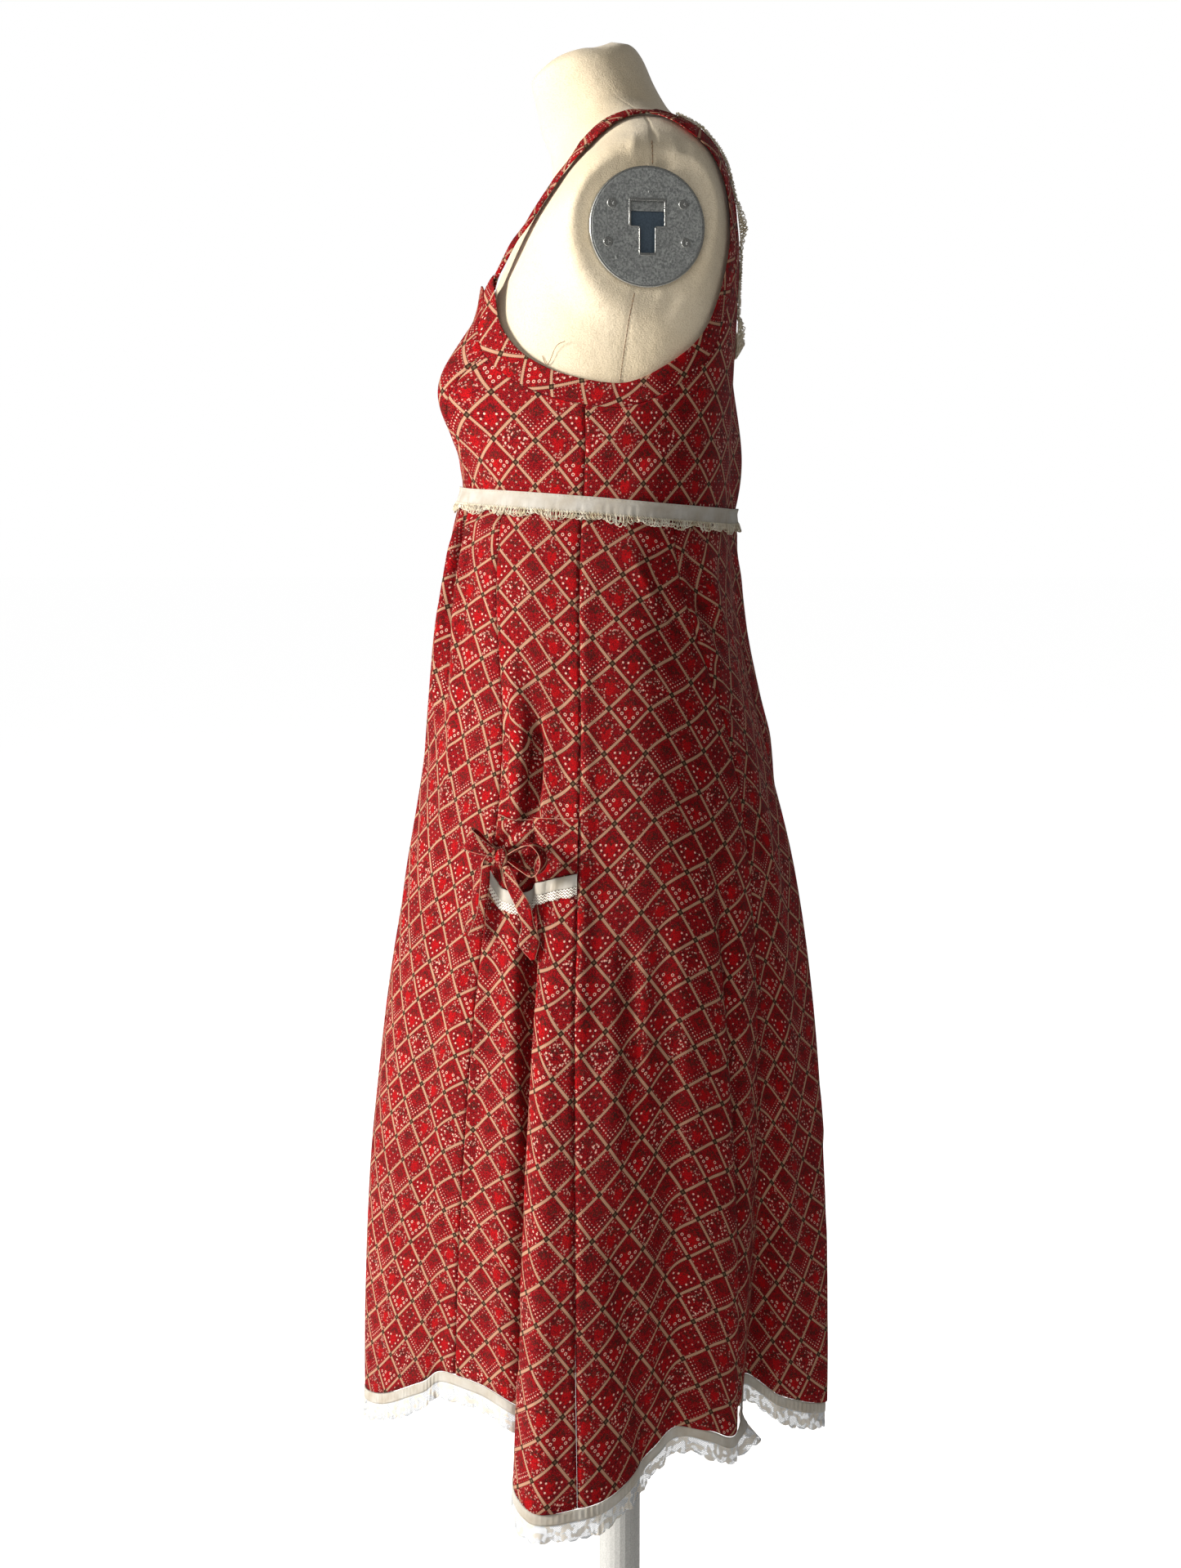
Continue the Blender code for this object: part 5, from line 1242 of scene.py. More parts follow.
coarse = band_at(run)
at_princess = int(np.argmin(np.abs(coarse[:BAND_STEPS // 2, 0] - PRINCESS[-1][0])))
lower_run = coarse[at_princess:BAND_STEPS * 2 // 3, 0]
at_side = at_princess + int(np.argmin(np.abs(lower_run - SIDE_SEAM[-1][0])))
last = BAND_STEPS - 2
turned_up = at_side + int(np.argmin(np.abs(coarse[at_side:last, 0] - BACK_TURNS_UP)))
SEAM_POINTS = 6          # the princess and side seams count as this many steps of the band
print("band steps at the princess seam, side seam and turn:", at_princess, at_side, turned_up)


def seam_to_band(table, at, band_step):
    """A seam from the waist up, at shares of its run, ending on the band."""
    table = np.array(table, float)
    share = np.linspace(0.0, 1.0, len(table))[:, None]
    table = table + share * (band_at(band_step / BAND_STEPS) - table[-1])
    line = follow(table, at)
    start = follow(table, 0.0)
    line[..., 1] += (seam_level(start[0]) - start[1]) * (1 - smoothstep(at / 0.1))
    return line


# %% Panels as grids of turn and level
def edge_steps(steps, seam, band_step, way):
    """Along a seam for its first steps, and then along the band, up or down its run."""
    seam_line = seam_to_band(seam, np.clip(steps / SEAM_POINTS, 0.0, 1.0), band_step)
    past = np.clip(steps - SEAM_POINTS, 0.0, None)
    band_line = band_at((band_step + way * past) / BAND_STEPS)
    return np.where((steps <= SEAM_POINTS)[:, None], seam_line, band_line)


def front_centre_grid(rows, columns):
    """Side edges on the princess seam and the band, top edge a shallow curve."""
    steps = np.linspace(0.0, SEAM_POINTS + at_princess, rows)
    edge = edge_steps(steps, PRINCESS, at_princess, -1.0)
    share = 2.0 * seam_shares(columns)[None, :] - 1.0
    height = (steps / steps[-1])[:, None]
    turn = share * edge[:, :1]
    drop = (edge[-1, 1] - FRONT_TOP) * (1 - share ** 2)
    rise = seam_level(turn[0]) - edge[0, 1]
    level = edge[:, 1:] - drop * height ** 3 + rise[None, :] * (1 - height) ** 3
    return np.stack([turn, level], axis=-1)[::-1]


def front_side_grid(rows, columns):
    """Four edges blended: princess seam, side seam, waist seam and band."""
    v = np.linspace(0.0, 1.0, rows)
    u = seam_shares(columns)
    left = seam_to_band(PRINCESS, v, at_princess)[:, None]
    right = seam_to_band(SIDE_SEAM, v, at_side)[:, None]
    top = band_at((at_princess + (at_side - at_princess) * u) / BAND_STEPS)[None]
    turn = left[0, 0, 0] + (right[0, 0, 0] - left[0, 0, 0]) * u
    bottom = np.stack([turn, seam_level(turn)], axis=-1)[None]
    u, v = u[None, :, None], v[:, None, None]
    grid = ((1 - v) * bottom + v * top + (1 - u) * left + u * right
            - (1 - u) * (1 - v) * left[0, 0] - u * (1 - v) * right[0, 0]
            - (1 - u) * v * left[-1, 0] - u * v * right[-1, 0])
    return grid[::-1]


def back_grid(rows, columns):
    """Rows from the side seam and the band's edge to the centre back and the neckline."""
    steps = np.linspace(0.0, SEAM_POINTS + last - at_side, rows)
    outer = edge_steps(steps, SIDE_SEAM, at_side, 1.0)
    bend = turned_up - at_side
    past = np.clip(steps - SEAM_POINTS, 0.0, None)
    low = seam_level(180.0) + (BACK_MIDDLE - seam_level(180.0)) * steps / SEAM_POINTS
    high = BACK_MIDDLE + (NECKLINE[0][1] - BACK_MIDDLE) * past / bend
    middle = np.where(steps <= SEAM_POINTS, low, high)
    straight = np.stack([np.full(rows, 180.0), middle], axis=-1)
    curved = follow(NECKLINE, np.clip((past - bend) / (last - turned_up), 0.0, 1.0))
    inner = np.where((past <= bend)[:, None], straight, curved)
    u = seam_shares(columns)[None, :, None]
    grid = (1 - u) * outer[:, None] + u * inner[:, None]
    fix = (seam_level(grid[0, :, 0]) - grid[0, :, 1])[None, :]
    v = np.linspace(0.0, 1.0, rows)[:, None]
    grid[..., 1] += fix * np.clip(1 - 4 * v, 0.0, 1.0)
    return grid[::-1]


# %% The bodice's own creases
# turn and level at both ends, width and depth in mm
BODICE_CREASES = (
    (34.0, 1.205, 52.0, 1.232, 7, -1.2),      # from the bust to the armhole
    (44.0, 1.150, 66.0, 1.168, 9, 1.0),
    (60.0, 1.128, 78.0, 1.160, 8, -1.1),
    (86.0, 1.150, 104.0, 1.185, 9, 1.2),
    (96.0, 1.130, 118.0, 1.170, 8, -1.3),
    (112.0, 1.190, 128.0, 1.235, 7, 1.2),     # round the armhole
    (124.0, 1.150, 150.0, 1.178, 9, -1.4),
    (136.0, 1.250, 150.0, 1.285, 7, -1.2),
    (140.0, 1.300, 148.0, 1.350, 6, 1.0),
    (10.0, 1.140, 24.0, 1.165, 9, 0.9),
    (6.0, 1.250, 26.0, 1.262, 9, -1.0),
)


def bodice_relief(turn, level):
    """How far the bodice's creases move it out, in metres, on both sides alike."""
    away = np.abs(half_round(turn))
    x = np.radians(away) * MEAN_RADIUS
    total = np.zeros(np.broadcast(turn, level).shape)
    for turn_0, level_0, turn_1, level_1, width, depth in BODICE_CREASES:
        start = np.array([math.radians(turn_0) * MEAN_RADIUS, level_0])
        along = np.array([math.radians(turn_1) * MEAN_RADIUS, level_1]) - start
        share = ((x - start[0]) * along[0] + (level - start[1]) * along[1]) / (along @ along)
        gone = np.clip(share, 0, 1)
        distance = np.hypot(x - start[0] - gone * along[0], level - start[1] - gone * along[1])
        fade = smoothstep((share + 0.3) / 0.4) * smoothstep((1.3 - share) / 0.4)
        total = total + fade * np.exp(-(distance * 1000 / width) ** 2) * depth / 1000.0
    return total


def bodice_cut(where, angle, shift):
    """Place on the flat cloth of a grid of turn and level."""
    cut = 0.95 * np.stack([np.radians(where[..., 0]) * MEAN_RADIUS, where[..., 1]], axis=-1)
    return turned_cut(cut, angle, np.array(shift) / 1000.0)


# %% Bodice panels
PANELS = (
    ("bodice_front_centre", front_centre_grid(96, 80), False, 0.0, (0.0, 5.0)),
    ("bodice_front_side_left", front_side_grid(84, 66), False, 4.0, (7.0, 2.0)),
    ("bodice_front_side_right", front_side_grid(84, 66), True, -4.0, (3.0, 11.0)),
    ("bodice_back_left", back_grid(136, 70), False, 0.0, (11.0, 7.0)),
    ("bodice_back_right", back_grid(136, 70), True, 0.0, (5.0, 1.0)),
)


def make_panels():
    """Bodice panels, the right-hand ones mirrored."""
    for name, where, flip, angle, shift in PANELS:
        if flip:
            where = np.stack([-where[..., 0], where[..., 1]], axis=-1)[:, ::-1]
        turn, level = where[..., 0], where[..., 1]
        out = normal_of(bodice_face, turn, level)
        relief = bodice_relief(turn, level)
        face = grooved(bodice_face(turn, level) + relief[..., None] * out, out, 0.8)
        outer = pull_in(face, SEAM_GAP / 2)
        inner = pull_in(face - FINE_CLOTH * out, SEAM_GAP / 2)
        sheet(name + "_cloth", (name,), outer, inner, bodice_cut(where, angle, shift), calico,
              "calico")


make_panels()

# %% [markdown]
# ## Bands and straps
# The armhole band is cut on the bias and folded over the edge, so it is a little thicker
# than a panel, with a round edge. The straps are narrow folded strips.

# %% Armhole bands and straps
BAND_PUFF = 0.0006
# Shares of the strap's run: where it comes out of the front and where its arm side widens,
# each a start and a length, and where it is narrow again; then sizes in metres
STRAP = {"comes_out": (0.13, 0.14), "widens": (0.08, 0.15), "narrow_at": 0.92,
         "wider": 0.0042, "crown": 0.0004, "long": 0.30}


def make_bands():
    """A strip between the armhole's edge and the panels, slightly raised, with the lattice
    running along it."""
    share = np.linspace(0.0, 1.0, 240)
    across = np.concatenate([[0.0, 0.03], np.linspace(0.08, 0.92, 9), [0.97, 1.0]])[:, None]
    edge = np.stack([np.interp(share, FINE_RUN, armhole_edge[:, k]) for k in (0, 1)], axis=-1)
    for side, sign in MIRROR.items():
        where = band_at(share)[None] * (1 - across[..., None]) + edge[None] * across[..., None]
        where = np.stack([sign * where[..., 0], where[..., 1]], axis=-1)
        turn, level = where[..., 0], where[..., 1]
        out = normal_of(bodice_face, turn, level)
        puff = BAND_PUFF * (1 - (2 * across - 1) ** 6)
        lift = puff + 0.3 * bodice_relief(turn, level)
        face = bodice_face(turn, level) + lift[..., None] * out
        thick = 2 * FINE_CLOTH * np.clip(1 - np.abs(2 * across - 1) ** 8, 0.25, 1.0)
        along = gone_along(face[len(face) // 2])
        cut = np.stack([along[None, :] + 0.0 * across, BAND_WIDTH * across + 0.0 * along], axis=-1)
        outer = pull_in(face, SEAM_GAP / 2, "tb")
        sheet("armhole_band_" + side + "_cloth", ("armhole_band_" + side,), outer,
              outer - thick[..., None] * 0.6 * out, turned_cut(cut, 20.0), calico, "calico")


def make_strap_cloth():
    """Straps from inside the front corners over the shoulders to the ends of the bands."""
    at = np.linspace(0.0, 1.0, 110)
    turn, level = follow(STRAP_PATH, at).T
    inside = -STRAP_INSIDE * (1 - rises(at, *STRAP["comes_out"]))
    rails = []
    for offset, meets in zip((-0.5, 0.5), STRAP_MEETS):
        spread = rises(at, *STRAP["widens"]) * smoothstep((STRAP["narrow_at"] - at) / 0.2)
        wider = STRAP["wider"] * (offset > 0) * spread
        rail = np.stack(beside(turn, level, offset * STRAP_WIDTH + wider), axis=-1)
        end = armhole_edge[-1] + meets * (band_edge[-1] - armhole_edge[-1])
        shift = end - np.array([STRAP_END_GAP, 0.0]) - rail[-1]
        rails.append(rail + np.clip(12 * at - 11, 0.0, 1.0)[:, None] * shift)
    across = np.linspace(0.0, 1.0, 9)[:, None, None]
    where = rails[0][None] * (1 - across) + rails[1][None] * across
    for side, sign in MIRROR.items():
        turn, level = sign * where[..., 0], where[..., 1]
        out = normal_of(bodice_face, turn, level)
        crown = STRAP["crown"] * (1 - (2 * across[..., 0] - 1) ** 4)
        face = bodice_face(turn, level) + (inside + crown)[..., None] * out
        along = np.linspace(0.0, STRAP["long"], len(at))
        cut = np.stack([along[None] + 0 * turn, STRAP_WIDTH * across[..., 0] + 0 * turn], axis=-1)
        sheet("strap_" + side + "_cloth", ("strap_" + side,), face, face - FINE_CLOTH * out,
              turned_cut(cut, 12.0), calico, "calico")


make_bands()
make_strap_cloth()

# %% [markdown]
# ## Threads as tubes
# Crochet loops and stitches are hundreds of short pieces of thread. Curves with a bevel
# would do, but a few hundred of them are slow and heavy, so one function makes all the tubes
# at once: at each point of a line, four corners stand round it at right angles to its way.

# %% Tubes along many lines
def tubes(lines, radius):
    """Points and faces of closed four-sided tubes along an array of lines (line, point, xyz),
    shaded round."""
    count, steps = lines.shape[:2]
    along = np.gradient(lines, axis=1)
    along /= np.maximum(np.linalg.norm(along, axis=2, keepdims=True), 1e-12)
    helper = np.where(np.abs(along[..., 2:]) < 0.9, [0.0, 0.0, 1.0], [1.0, 0.0, 0.0])
    first = np.cross(along, helper)
    first /= np.linalg.norm(first, axis=2, keepdims=True)
    second = np.cross(along, first)
    corner = np.arange(4) * (np.pi / 2)
    ring = (first[:, :, None] * np.cos(corner)[None, None, :, None]
            + second[:, :, None] * np.sin(corner)[None, None, :, None])
    points = lines[:, :, None] + radius * ring
    number = np.arange(count * steps * 4).reshape(count, steps, 4)
    here, there = number[:, :-1], number[:, 1:]
    sides = np.stack([here, np.roll(here, -1, axis=2), np.roll(there, -1, axis=2), there], -1)
    caps = np.concatenate([number[:, 0, ::-1], number[:, -1]])
    return points.reshape(-1, 3), np.concatenate([sides.reshape(-1, 4), caps])


def along_path(path, at, values=None):
    """Points at distances along a path, or values there that belong to its points."""
    values = path if values is None else values
    gone = gone_along(path)
    return np.stack([np.interp(at, gone, part) for part in values.T], axis=-1)


def path_length(path):
    """Length of a path of points."""
    return float(np.linalg.norm(np.diff(path, axis=0), axis=1).sum())


def stitch_row(name, path, out, finish, long=0.0024, gap=0.0012, radius=0.00022):
    """Running stitches along a path, each a short thread that dips into the cloth."""
    starts = np.arange(gap, path_length(path) - long, long + gap)
    share = np.linspace(0.0, 1.0, 4)
    at = starts[:, None] + long * share[None]
    lines = along_path(path, at) + along_path(path, at, out) * (
        radius * (1.2 - 3.0 * (2 * share - 1) ** 4))[None, :, None]
    piece = lay(name, *tubes(lines, radius), finish)
    place(piece, "tape")
    return piece


LOOP_POINTS, CHAIN_POINTS = 10, 7
LOOP_POWER = 0.55         # below 1 a loop is fuller than half a sine


def crochet(name, nodes, path, fall, out, depth, period, finish, layers=2, radius=0.00042):
    """Crochet loops that hang from a path: each leaves it, turns at its depth and comes back,
    with the next one crossing it. Depth is a function of the distance along the path."""
    lines = []
    length = path_length(path)
    for layer in range(layers):
        start = np.arange(period * (0.3 + 0.45 * layer), length - period, period)
        start = start + rng.normal(0.0, 0.10 * period, len(start))
        share = np.linspace(0.0, 1.0, LOOP_POINTS)
        wide = period * rng.uniform(1.1, 1.7, (len(start), 1))
        at = np.clip(start[:, None] + wide * (share - 0.5)[None], 0.0, length)
        drop = depth(start)[:, None] * rng.uniform(0.80, 1.0, (len(start), 1))
        drop = drop * np.abs(np.sin(np.pi * share))[None] ** LOOP_POWER
        lean = rng.normal(0.0, 0.0009, (len(start), 1)) * np.sin(np.pi * share)[None]
        twist = 0.0010 * np.sin(2 * np.pi * share)[None] * rng.choice([-1.0, 1.0], (len(start), 1))
        base = along_path(path, at + lean)
        lines.append(base + along_path(path, at, fall) * drop[..., None]
                     + along_path(path, at, out) * (twist + 0.0007 * layer)[..., None])
    chain = np.arange(0.0, length - period, period * 0.55)
    share = np.linspace(0.0, 1.0, CHAIN_POINTS)
    for level in (0.0, 0.5):
        at = chain[:, None] + 0.7 * period * share[None]
        dip = depth(chain)[:, None] * level + 0.0006 * np.sin(2 * np.pi * share)[None]
        base = along_path(path, at)
        lines.append(base + along_path(path, at, fall) * dip[..., None]
                     + along_path(path, at, out) * 0.0004)
    points, quads, count = [], [], 0
    for group in lines:
        group_points, group_quads = tubes(group, radius)
        points.append(group_points)
        quads.append(group_quads + count)
        count += len(group_points)
    piece = lay(name, np.concatenate(points), np.concatenate(quads), finish)
    print(f"{name}: {sum(len(group) for group in lines)} loops, "
          f"{2 * sum(len(q) for q in quads)} triangles")
    return place(piece, "lace", *nodes)


# %% [markdown]
# ## Trim on the raised waist
# The seam is covered by cotton tape, sewn near its upper edge, with a crochet edging that
# has shrunk in the wash and hangs in uneven swags.

# %% Waist tape and its edging
TAPE_LIFT = 0.0022
TAPE_THICK = 0.0009
# Heights of the tape's rows over the seam, closer together at its two edges
TAPE_ROWS = (0.0035, 0.0032, 0.0022, 0.0010, -0.0014, -0.0030, -0.0048, -0.0066, -0.0082,
             -0.0092, -0.0095)
UPPER_STITCHES, LOWER_STITCHES = 2, 8    # rows that carry stitches
waist_turns = np.linspace(180.05, 539.95, 560)
waist_from_back = waist_turns % 360.0


def near_waist(turn, height, lift):
    """A point over the waist seam: on the bodice above it, on the skirt below it."""
    if height >= 0:
        return bodice(turn, seam_level(turn) + height, lift + 0.0 * turn)
    length = seam_level(turn) - hem_value(turn, "height")
    face = skirt_face(turn, -height / length)
    return face + lift * level_way(face)


def swag(at):
    """Depth of the waist edging: two sines of the distance, one short and one long."""
    return 0.0062 + 0.0030 * np.sin(at / 0.0056) * np.sin(at / 0.0213 + 1.0)


def make_waist_tape():
    """Tape with a slight ripple at its lower edge, two rows of stitches and the edging."""
    ripple = 0.0004 * np.sin(waist_turns * 1.7) * np.sin(waist_turns * 0.31)
    rows = []
    for height in TAPE_ROWS:
        low = np.clip(-height / WAIST_TAPE_DOWN, 0.0, 1.0)
        row = near_waist(waist_from_back, height, TAPE_LIFT + 0.0006)
        rows.append(row + (ripple * low)[:, None] * level_way(row))
    grid = np.stack(rows)
    out = level_way(grid)
    sheet("waist_tape_cloth", ("waist_tape",), grid, grid - TAPE_THICK * out, flat_cut(grid),
          cotton_tape, "tape")
    # Stitches in thread painted darker than the tape, as painted shade.
    stitch_row("waist_tape_stitches", grid[UPPER_STITCHES], out[UPPER_STITCHES], white_thread_with_painted_shade)
    stitch_row("waist_tape_lower_stitches", grid[LOWER_STITCHES], out[LOWER_STITCHES],
               white_thread_with_painted_shade)
    fall = np.gradient(grid, axis=0)[-2]
    fall /= np.linalg.norm(fall, axis=1, keepdims=True)
    crochet("waist_loops_crochet", ("waist_loops",), grid[-1], fall, out[-1], swag, 0.0042,
            crochet_cotton, radius=0.00036)


make_waist_tape()

# %% [markdown]
# ## Tape and lace round the hem
# The hem's tape is gathered, so small upright ribs run round it. The lace below is a net
# whose scallops are cut in the mesh, while its threads are left to the shader.

# %% Hem tape and lace
HEM_POINTS = 1500
RIBS, FLOUNCES, SCALLOPS = 320, 58, 128    # round the whole hem
hem_turns = np.linspace(0.0, 360.0, HEM_POINTS, endpoint=False)


def make_hem():
    """Two closed strips below the skirt's edge, along the fall of its cloth."""
    edge = skirt(hem_turns, np.ones(1))
    fall = edge - skirt(hem_turns, np.full(1, 0.985))
    fall /= np.linalg.norm(fall, axis=1, keepdims=True)
    along = np.roll(edge, -1, axis=0) - np.roll(edge, 1, axis=0)
    out = np.cross(along, -fall)
    out /= np.linalg.norm(out, axis=1, keepdims=True)
    if (out * edge)[:, :2].sum() < 0:
        out = -out
    gone = gone_along(edge)
    around = gone[-1] + np.linalg.norm(edge[0] - edge[-1])
    whole = 2 * np.pi * gone / around
    ribs = np.sin(RIBS * whole + 1.5 * np.sin(17 * whole)) * (0.7 + 0.3 * np.sin(41 * whole))
    flounce = np.sin(FLOUNCES * whole + 1.2 * np.sin(9 * whole))

    def strip(drops, waves, lift):
        """Rows at drops down the cloth, moved out by their waves."""
        rows = [edge + drop[:, None] * fall + (lift + wave)[:, None] * out
                for drop, wave in zip(drops, waves)]
        return np.stack(rows)

    def cut_of(drops):
        """Place on the flat strip: distance round the hem, and the drop."""
        places = np.append(gone, around)
        depth = np.stack([np.append(drop, drop[:1]) for drop in drops])
        return np.stack([places[None] + 0 * depth, -depth], axis=-1)

    tape_rows = (HEM_GAP * 0.4, 0.0022, 0.0040, 0.0060, 0.0080, HEM_TAPE)
    drops = [np.full(HEM_POINTS, drop) for drop in tape_rows]
    waves = [0.00045 * share * ribs + 0.0001 for share in (0.3, 0.8, 1.0, 1.0, 0.8, 0.5)]
    tape = strip(drops, waves, 0.0004)
    sheet("hem_tape_cloth", ("hem_tape",), tape, tape - 0.0008 * out, cut_of(drops),
          cotton_tape, "tape", around=True)
    phase = (whole * SCALLOPS / (2 * np.pi)) % 1.0
    reach = HEM_LACE * (0.80 + 0.20 * np.sqrt(np.clip(1 - (2 * phase - 1) ** 2, 0, 1)))
    reach = reach * (0.93 + 0.07 * np.sin(23 * whole))
    shares = (0.0, 0.10, 0.25, 0.42, 0.60, 0.78, 0.92, 1.0)
    drops = [HEM_TAPE - 0.0008 + share * (reach + 0.0008) for share in shares]
    waves = [share * (0.0016 * flounce + 0.0006 * ribs) for share in shares]
    lace = strip(drops, waves, 0.0002)
    cut = cut_of([drop - HEM_TAPE for drop in drops])
    sheet("hem_lace_cloth", ("hem_lace",), lace, lace - 0.0004 * out, cut, lace_net, "lace",
          around=True)
    print(f"hem: {around:.2f} m round")


make_hem()

# %% [markdown]
# ## Crochet at the back of the neck
# A narrow crochet edging stands off the neckline. It is the same loops as at the waist, but
# their way down is the way out from the neckline.

# %% Neckline edging
# level and half height of the two places where the edging stands off the neckline
NECK_BUMPS = ((1.333, 0.036), (1.248, 0.026))


def make_neck_edging():
    """Three layers of loops round the neckline, tucked in but for two bumps."""
    share = np.linspace(0.0, 1.0, 160)
    half = follow(NECKLINE, share)
    turn = np.concatenate([half[:0:-1, 0], 360.0 - half[:, 0]])
    level = np.concatenate([half[:0:-1, 1], half[:, 1]])
    at = bodice_face(turn, level)
    out = normal_of(bodice_face, turn, level)
    opening = np.cross(out, np.gradient(at, axis=0))
    opening /= np.linalg.norm(opening, axis=1, keepdims=True)
    path = at - 0.003 * opening + 0.0014 * out
    stands = sum(bell((level - middle) / half) for middle, half in NECK_BUMPS)
    fall = 0.95 * opening + (1.50 * stands - 0.70)[:, None] * out
    fall /= np.linalg.norm(fall, axis=1, keepdims=True)
    at_point = gone_along(path)

    def deep(gone):
        """Depth of the loops: more where they stand off, with a sine of the distance."""
        return (0.0036 + 0.0050 * np.interp(gone, at_point, stands)
                + 0.0014 * np.sin(gone / 0.006))

    crochet("neck_crochet", ("back_neck_lace",), path, fall, out, deep, 0.0034, crochet_cotton,
            layers=3)


make_neck_edging()

# %% [markdown]
# ## Pockets, drawn up by their bows
# Each pocket is a patch over the side front gore. A bow pulls its front corner together, so
# folds fan out from the knot. They are cosines of the angle round the knot that die away
# with distance.

# %% Pocket patches and their trim
def gore_point(side, share, z, lift):
    """A point over the side front gore: share of its width from front to side seam."""
    first, second = SEAM_TURNS[:2]
    turn = first + (second - first) * (0.03 + 0.965 * share)
    turn = turn if side == "left" else 360.0 - turn
    return skirt(turn, down_at(turn, z), lift)


def fan(share, z):
    """Folds that fan out from the knot: a cosine of the angle, fading with distance."""
    across, up = share * 0.075, z - BOW["z"]
    away = np.hypot(across, up)
    angle = np.arctan2(up, across + 0.004)
    high = 0.0014 + 0.0034 * smoothstep(up / 0.02)
    return high * (1 + np.cos(11 * angle)) * np.exp(-away / 0.024) * smoothstep(away / 0.006)


PATCH_LIFT, PLEAT = 0.0002, 0.0013


def edge_line(name, lines):
    """Pale cords along folded edges of the cloth: partly the print's line, partly painted
    highlight.
    """
    place(lay(name, *tubes(lines, 0.00030), folded_edge_and_highlight), "calico")


def make_pocket_cloth(side):
    """Patch, pleated tape and lace, each lifted off the gore."""
    share = seam_shares(46)
    top = eased(POCKET["share"], POCKET["top"], share)
    bottom = eased(POCKET["share"], POCKET["bottom"], share)
    strips = (
        ("pocket_", 36, top, bottom, FINE_CLOTH, calico, "calico"),
        ("pocket_tape_", 8, bottom - POCKET["gap"], bottom - POCKET["tape"], 0.0009,
         cotton_tape, "tape"),
        ("pocket_lace_", 8, bottom - POCKET["tape"] + 0.001,
         bottom - POCKET["tape"] - POCKET["lace"] * (0.8 + 0.2 * np.abs(np.sin(share * 19))),
         0.0005, zigzag_lace, "lace"),
    )
    for stem, rows, high, low, thick, finish, slot in strips:
        v = np.linspace(0.0, 1.0, rows)[:, None]
        z = high[None] + (low - high)[None] * v
        wide = share[None] + 0.0 * v
        lift = PATCH_LIFT + fan(wide, z) * smoothstep((0.96 - wide) / 0.25)
        if stem != "pocket_":
            lift = lift + 0.0006 + PLEAT * smoothstep(np.cos(share * 34)[None] + 0.5)
        if stem == "pocket_":
            gapes = smoothstep((z - top[None] + 0.014) / 0.014) * bell((wide - 0.35) / 0.4)
            lift = lift + 0.0035 * gapes
        outer = gore_point(side, wide, z, lift + thick)
        inner = gore_point(side, wide, z, lift)
        cut = flat_cut(outer)
        if finish is calico:
            cut = turned_cut(cut, 6.0, (0.004, 0.006))
        sheet(stem + side + "_cloth", (stem + side,), outer, inner, cut, finish, slot)
        if stem == "pocket_":
            # Pale cord on the pocket's top edge: partly painted highlight.
            edge_line("pocket_edge_" + side, outer[:1])


# %% [markdown]
# ## Bows
# A bow is a knot, two loops and two tails of narrow folded cloth. Each ribbon follows a short
# table of points in the bow's own frame, with the way its width lies, and curls slightly
# across. The knot is an ellipsoid with folds wrung round it.

# %% Bows
def bow_frame(side):
    """Anchor on the skirt, and the ways back, up and out of a bow."""
    mirror = MIRROR[side]
    turn = np.array([BOW["turn"]]) if side == "left" else 360.0 - np.array([BOW["turn"]])
    anchor = skirt_face(turn, down_at(turn, BOW["z"]))[0]
    angle = math.radians(BOW["facing"])
    back = (mirror * math.cos(angle), math.sin(angle), 0.0)
    out = (mirror * math.sin(angle), -math.cos(angle), 0.0)
    return anchor, np.array([back, (0.0, 0.0, 1.0), out])


RIBBON_POINTS = 70
RIBBON_FULLER = 1.15      # times the width of its solid
KNOT_ROWS, KNOT_AROUND = 26, 48


def make_ribbon(side, stem, table):
    """A ribbon along a table of points, curled a little across its width."""
    anchor, frame_of_bow = bow_frame(side)
    at = np.linspace(0.0, 1.0, RIBBON_POINTS)
    values = follow(table, at)
    centre = anchor + (values[:, :3] / 1000.0) @ frame_of_bow
    across = values[:, 4:7] @ frame_of_bow
    across /= np.linalg.norm(across, axis=1, keepdims=True)
    face = np.cross(np.gradient(centre, axis=0), across)
    face /= np.linalg.norm(face, axis=1, keepdims=True)
    w = np.linspace(-1.0, 1.0, 11)
    wide = RIBBON_FULLER * values[:, 3] / 2000.0
    curl = 0.16 * wide[:, None] * (w ** 2 - 0.4)[None] * np.sin(7 * at)[:, None]
    grid = centre[:, None] + wide[:, None, None] * w[None, :, None] * across[:, None]
    grid = grid + curl[..., None] * face[:, None]
    half = 0.00065 * np.clip(1 - np.abs(w) ** 8, 0.3, 1.0)[None, :, None] * face[:, None]
    cut = turned_cut(flat_cut(grid), 10.0, (0.003, 0.004))
    name = stem + side
    sheet(name + "_cloth", (name,), grid + half, grid - half, cut, calico, "calico")
    # Pale cords on both edges of the ribbon: partly painted highlight.
    edge_line(name + "_edges", np.stack([grid[:, 0], grid[:, -1]]))


